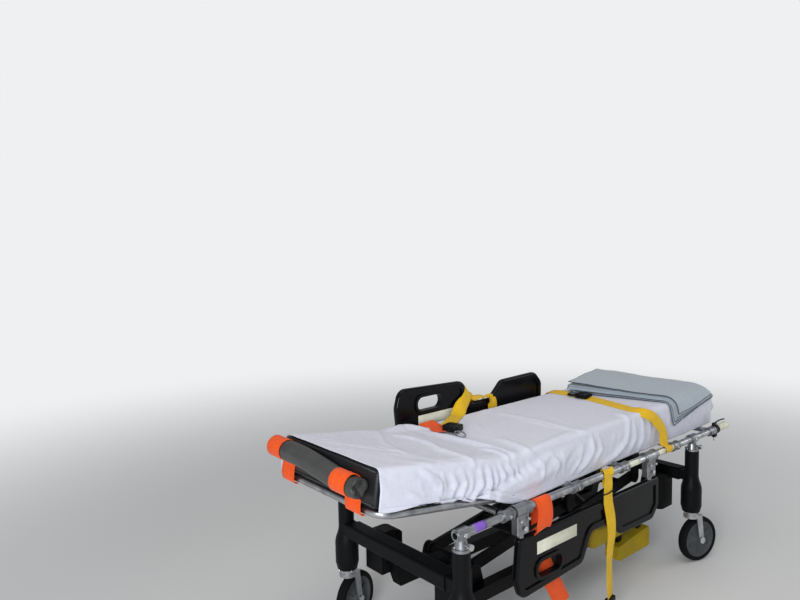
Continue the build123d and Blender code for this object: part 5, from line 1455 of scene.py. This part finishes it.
class STRETCHER_OT_fittings(bpy.types.Operator):
    """Adds the grips, clamps, levers, nuts, elbows, labels, tape and castor bolts"""
    bl_idname = "stretcher.fittings"
    bl_label = "Fittings"

    def execute(self, context):
        grips()
        grip_clamps()
        bracket_nuts()
        knuckle_bolts("near", -1, -1)
        knuckle_bolts("far", 1, 1)
        pivot_fittings(context.scene.stretcher_cloth.rest_tilt)
        blank_labels()
        for corner in CORNERS:
            castor_bolts(corner)
        return {"FINISHED"}


class STRETCHER_OT_stage(bpy.types.Operator):
    """Sets up the floor, the soft lights and the camera"""
    bl_idname = "stretcher.stage"
    bl_label = "Stage"

    def execute(self, context):
        scene = context.scene
        self.add_floor(scene)
        self.set_world(scene)
        for light in LIGHTS:
            self.add_light(scene, *light)
        self.add_camera(scene)
        scene.view_settings.view_transform = "Standard"
        return {"FINISHED"}

    @staticmethod
    def add_floor(scene):
        """A floor that fades into the backdrop, and can't be seen from below."""
        bm = bmesh.new()
        bmesh.ops.create_grid(bm, x_segments=1, y_segments=1, size=60)
        mesh = bpy.data.meshes.new("floor")
        bm.to_mesh(mesh)
        bm.free()
        floor = bpy.data.objects.new("floor", mesh)
        scene.collection.objects.link(floor)
        surface = Finish("Pale floor", scene.stretcher_colours.floor, 0.7, specular_ior_level=0.0,
                         emission_color=BACKDROP)
        tree, inputs = surface.tree, surface.shader.inputs
        under = add_node(tree, "ShaderNodeNewGeometry").outputs["Backfacing"]
        tree.links.new(compute(tree, "SUBTRACT", 1.0, under), inputs["Alpha"])
        away = add_node(tree, "ShaderNodeVectorMath", {0: surface.place}, operation="LENGTH").outputs["Value"]
        fade = add_node(tree, "ShaderNodeMapRange", {"Value": away, "From Min": 1.4, "From Max": 5.5},
                        interpolation_type="SMOOTHSTEP").outputs["Result"]
        tree.links.new(fade, inputs["Emission Strength"])
        surface.shade(fade, 1.0, 0.0)
        mesh.materials.append(surface.material)

    @staticmethod
    def set_world(scene):
        """A pale backdrop for the camera, and a dimmer, cooler light for everything else."""
        scene.world = bpy.data.worlds.new("Studio")
        scene.world.use_nodes = True
        tree = scene.world.node_tree
        tree.nodes.clear()
        seen = tree.nodes.new("ShaderNodeLightPath").outputs["Is Camera Ray"]
        dim = add_node(tree, "ShaderNodeBackground", {"Color": (0.86, 0.88, 0.92, 1), "Strength": 0.36})
        pale = add_node(tree, "ShaderNodeBackground", {"Color": BACKDROP, "Strength": 1.0})
        mix = add_node(tree, "ShaderNodeMixShader", {0: seen, 1: dim.outputs[0], 2: pale.outputs[0]})
        add_node(tree, "ShaderNodeOutputWorld", {"Surface": mix.outputs[0]})

    @staticmethod
    def add_light(scene, name, place, target, size, power, warmth):
        """A square softbox aimed at a target."""
        light = bpy.data.lights.new(name, "AREA")
        light.shape = "SQUARE"
        light.size = size
        light.energy = power
        light.color = warmth
        lamp = bpy.data.objects.new(name, light)
        scene.collection.objects.link(lamp)
        lamp.location = place
        lamp.rotation_euler = (Vector(target) - Vector(place)).to_track_quat("-Z", "Y").to_euler()

    @staticmethod
    def add_camera(scene):
        """The main view's camera."""
        view = scene.stretcher_camera
        ahead = Vector((math.sin(view.yaw) * math.cos(view.pitch), math.cos(view.yaw) * math.cos(view.pitch),
                        -math.sin(view.pitch)))
        level = Vector((math.cos(view.yaw), -math.sin(view.yaw), 0))
        under = ahead.cross(level)
        right = math.cos(view.roll) * level + math.sin(view.roll) * under
        down = -math.sin(view.roll) * level + math.cos(view.roll) * under
        camera = bpy.data.objects.new("Camera", bpy.data.cameras.new("Camera"))
        scene.collection.objects.link(camera)
        turned = Matrix((right, -down, -ahead)).transposed().to_4x4()
        camera.matrix_world = Matrix.Translation(view.place) @ turned
        camera.data.lens = view.lens
        camera.data.sensor_width = 36
        scene.camera = camera


OPERATORS = (STRETCHER_OT_finishes, STRETCHER_OT_castors, STRETCHER_OT_mattress, STRETCHER_OT_sheet,
             STRETCHER_OT_blanket, STRETCHER_OT_roll, STRETCHER_OT_straps, STRETCHER_OT_fittings,
             STRETCHER_OT_stage)
SETTINGS = {"stretcher_colours": StretcherColours, "stretcher_cloth": StretcherCloth,
            "stretcher_straps": StretcherStraps, "stretcher_camera": StretcherCamera}


class STRETCHER_PT_panel(bpy.types.Panel):
    """The stretcher's operators and settings"""
    bl_label = "Stretcher"
    bl_idname = "STRETCHER_PT_panel"
    bl_space_type = "VIEW_3D"
    bl_region_type = "UI"
    bl_category = "Stretcher"

    def draw(self, context):
        for operator in OPERATORS:
            self.layout.operator(operator.bl_idname)
        for name, kind in SETTINGS.items():
            box = self.layout.box()
            for key in kind.__annotations__:
                box.prop(getattr(context.scene, name), key)


CLASSES = (*SETTINGS.values(), *OPERATORS, STRETCHER_PT_panel)


def register():
    """Adds the classes and the scene's settings."""
    for item in CLASSES:
        bpy.utils.register_class(item)
    for name, kind in SETTINGS.items():
        setattr(bpy.types.Scene, name, PointerProperty(type=kind))


def unregister():
    """Takes the scene's settings and the classes away."""
    for name in SETTINGS:
        delattr(bpy.types.Scene, name)
    for item in reversed(CLASSES):
        bpy.utils.unregister_class(item)


def main():
    """Builds every piece in order."""
    register()
    for operator in OPERATORS:
        group, name = operator.bl_idname.split(".")
        getattr(getattr(bpy.ops, group), name)()


if __name__ == "__main__":
    main()
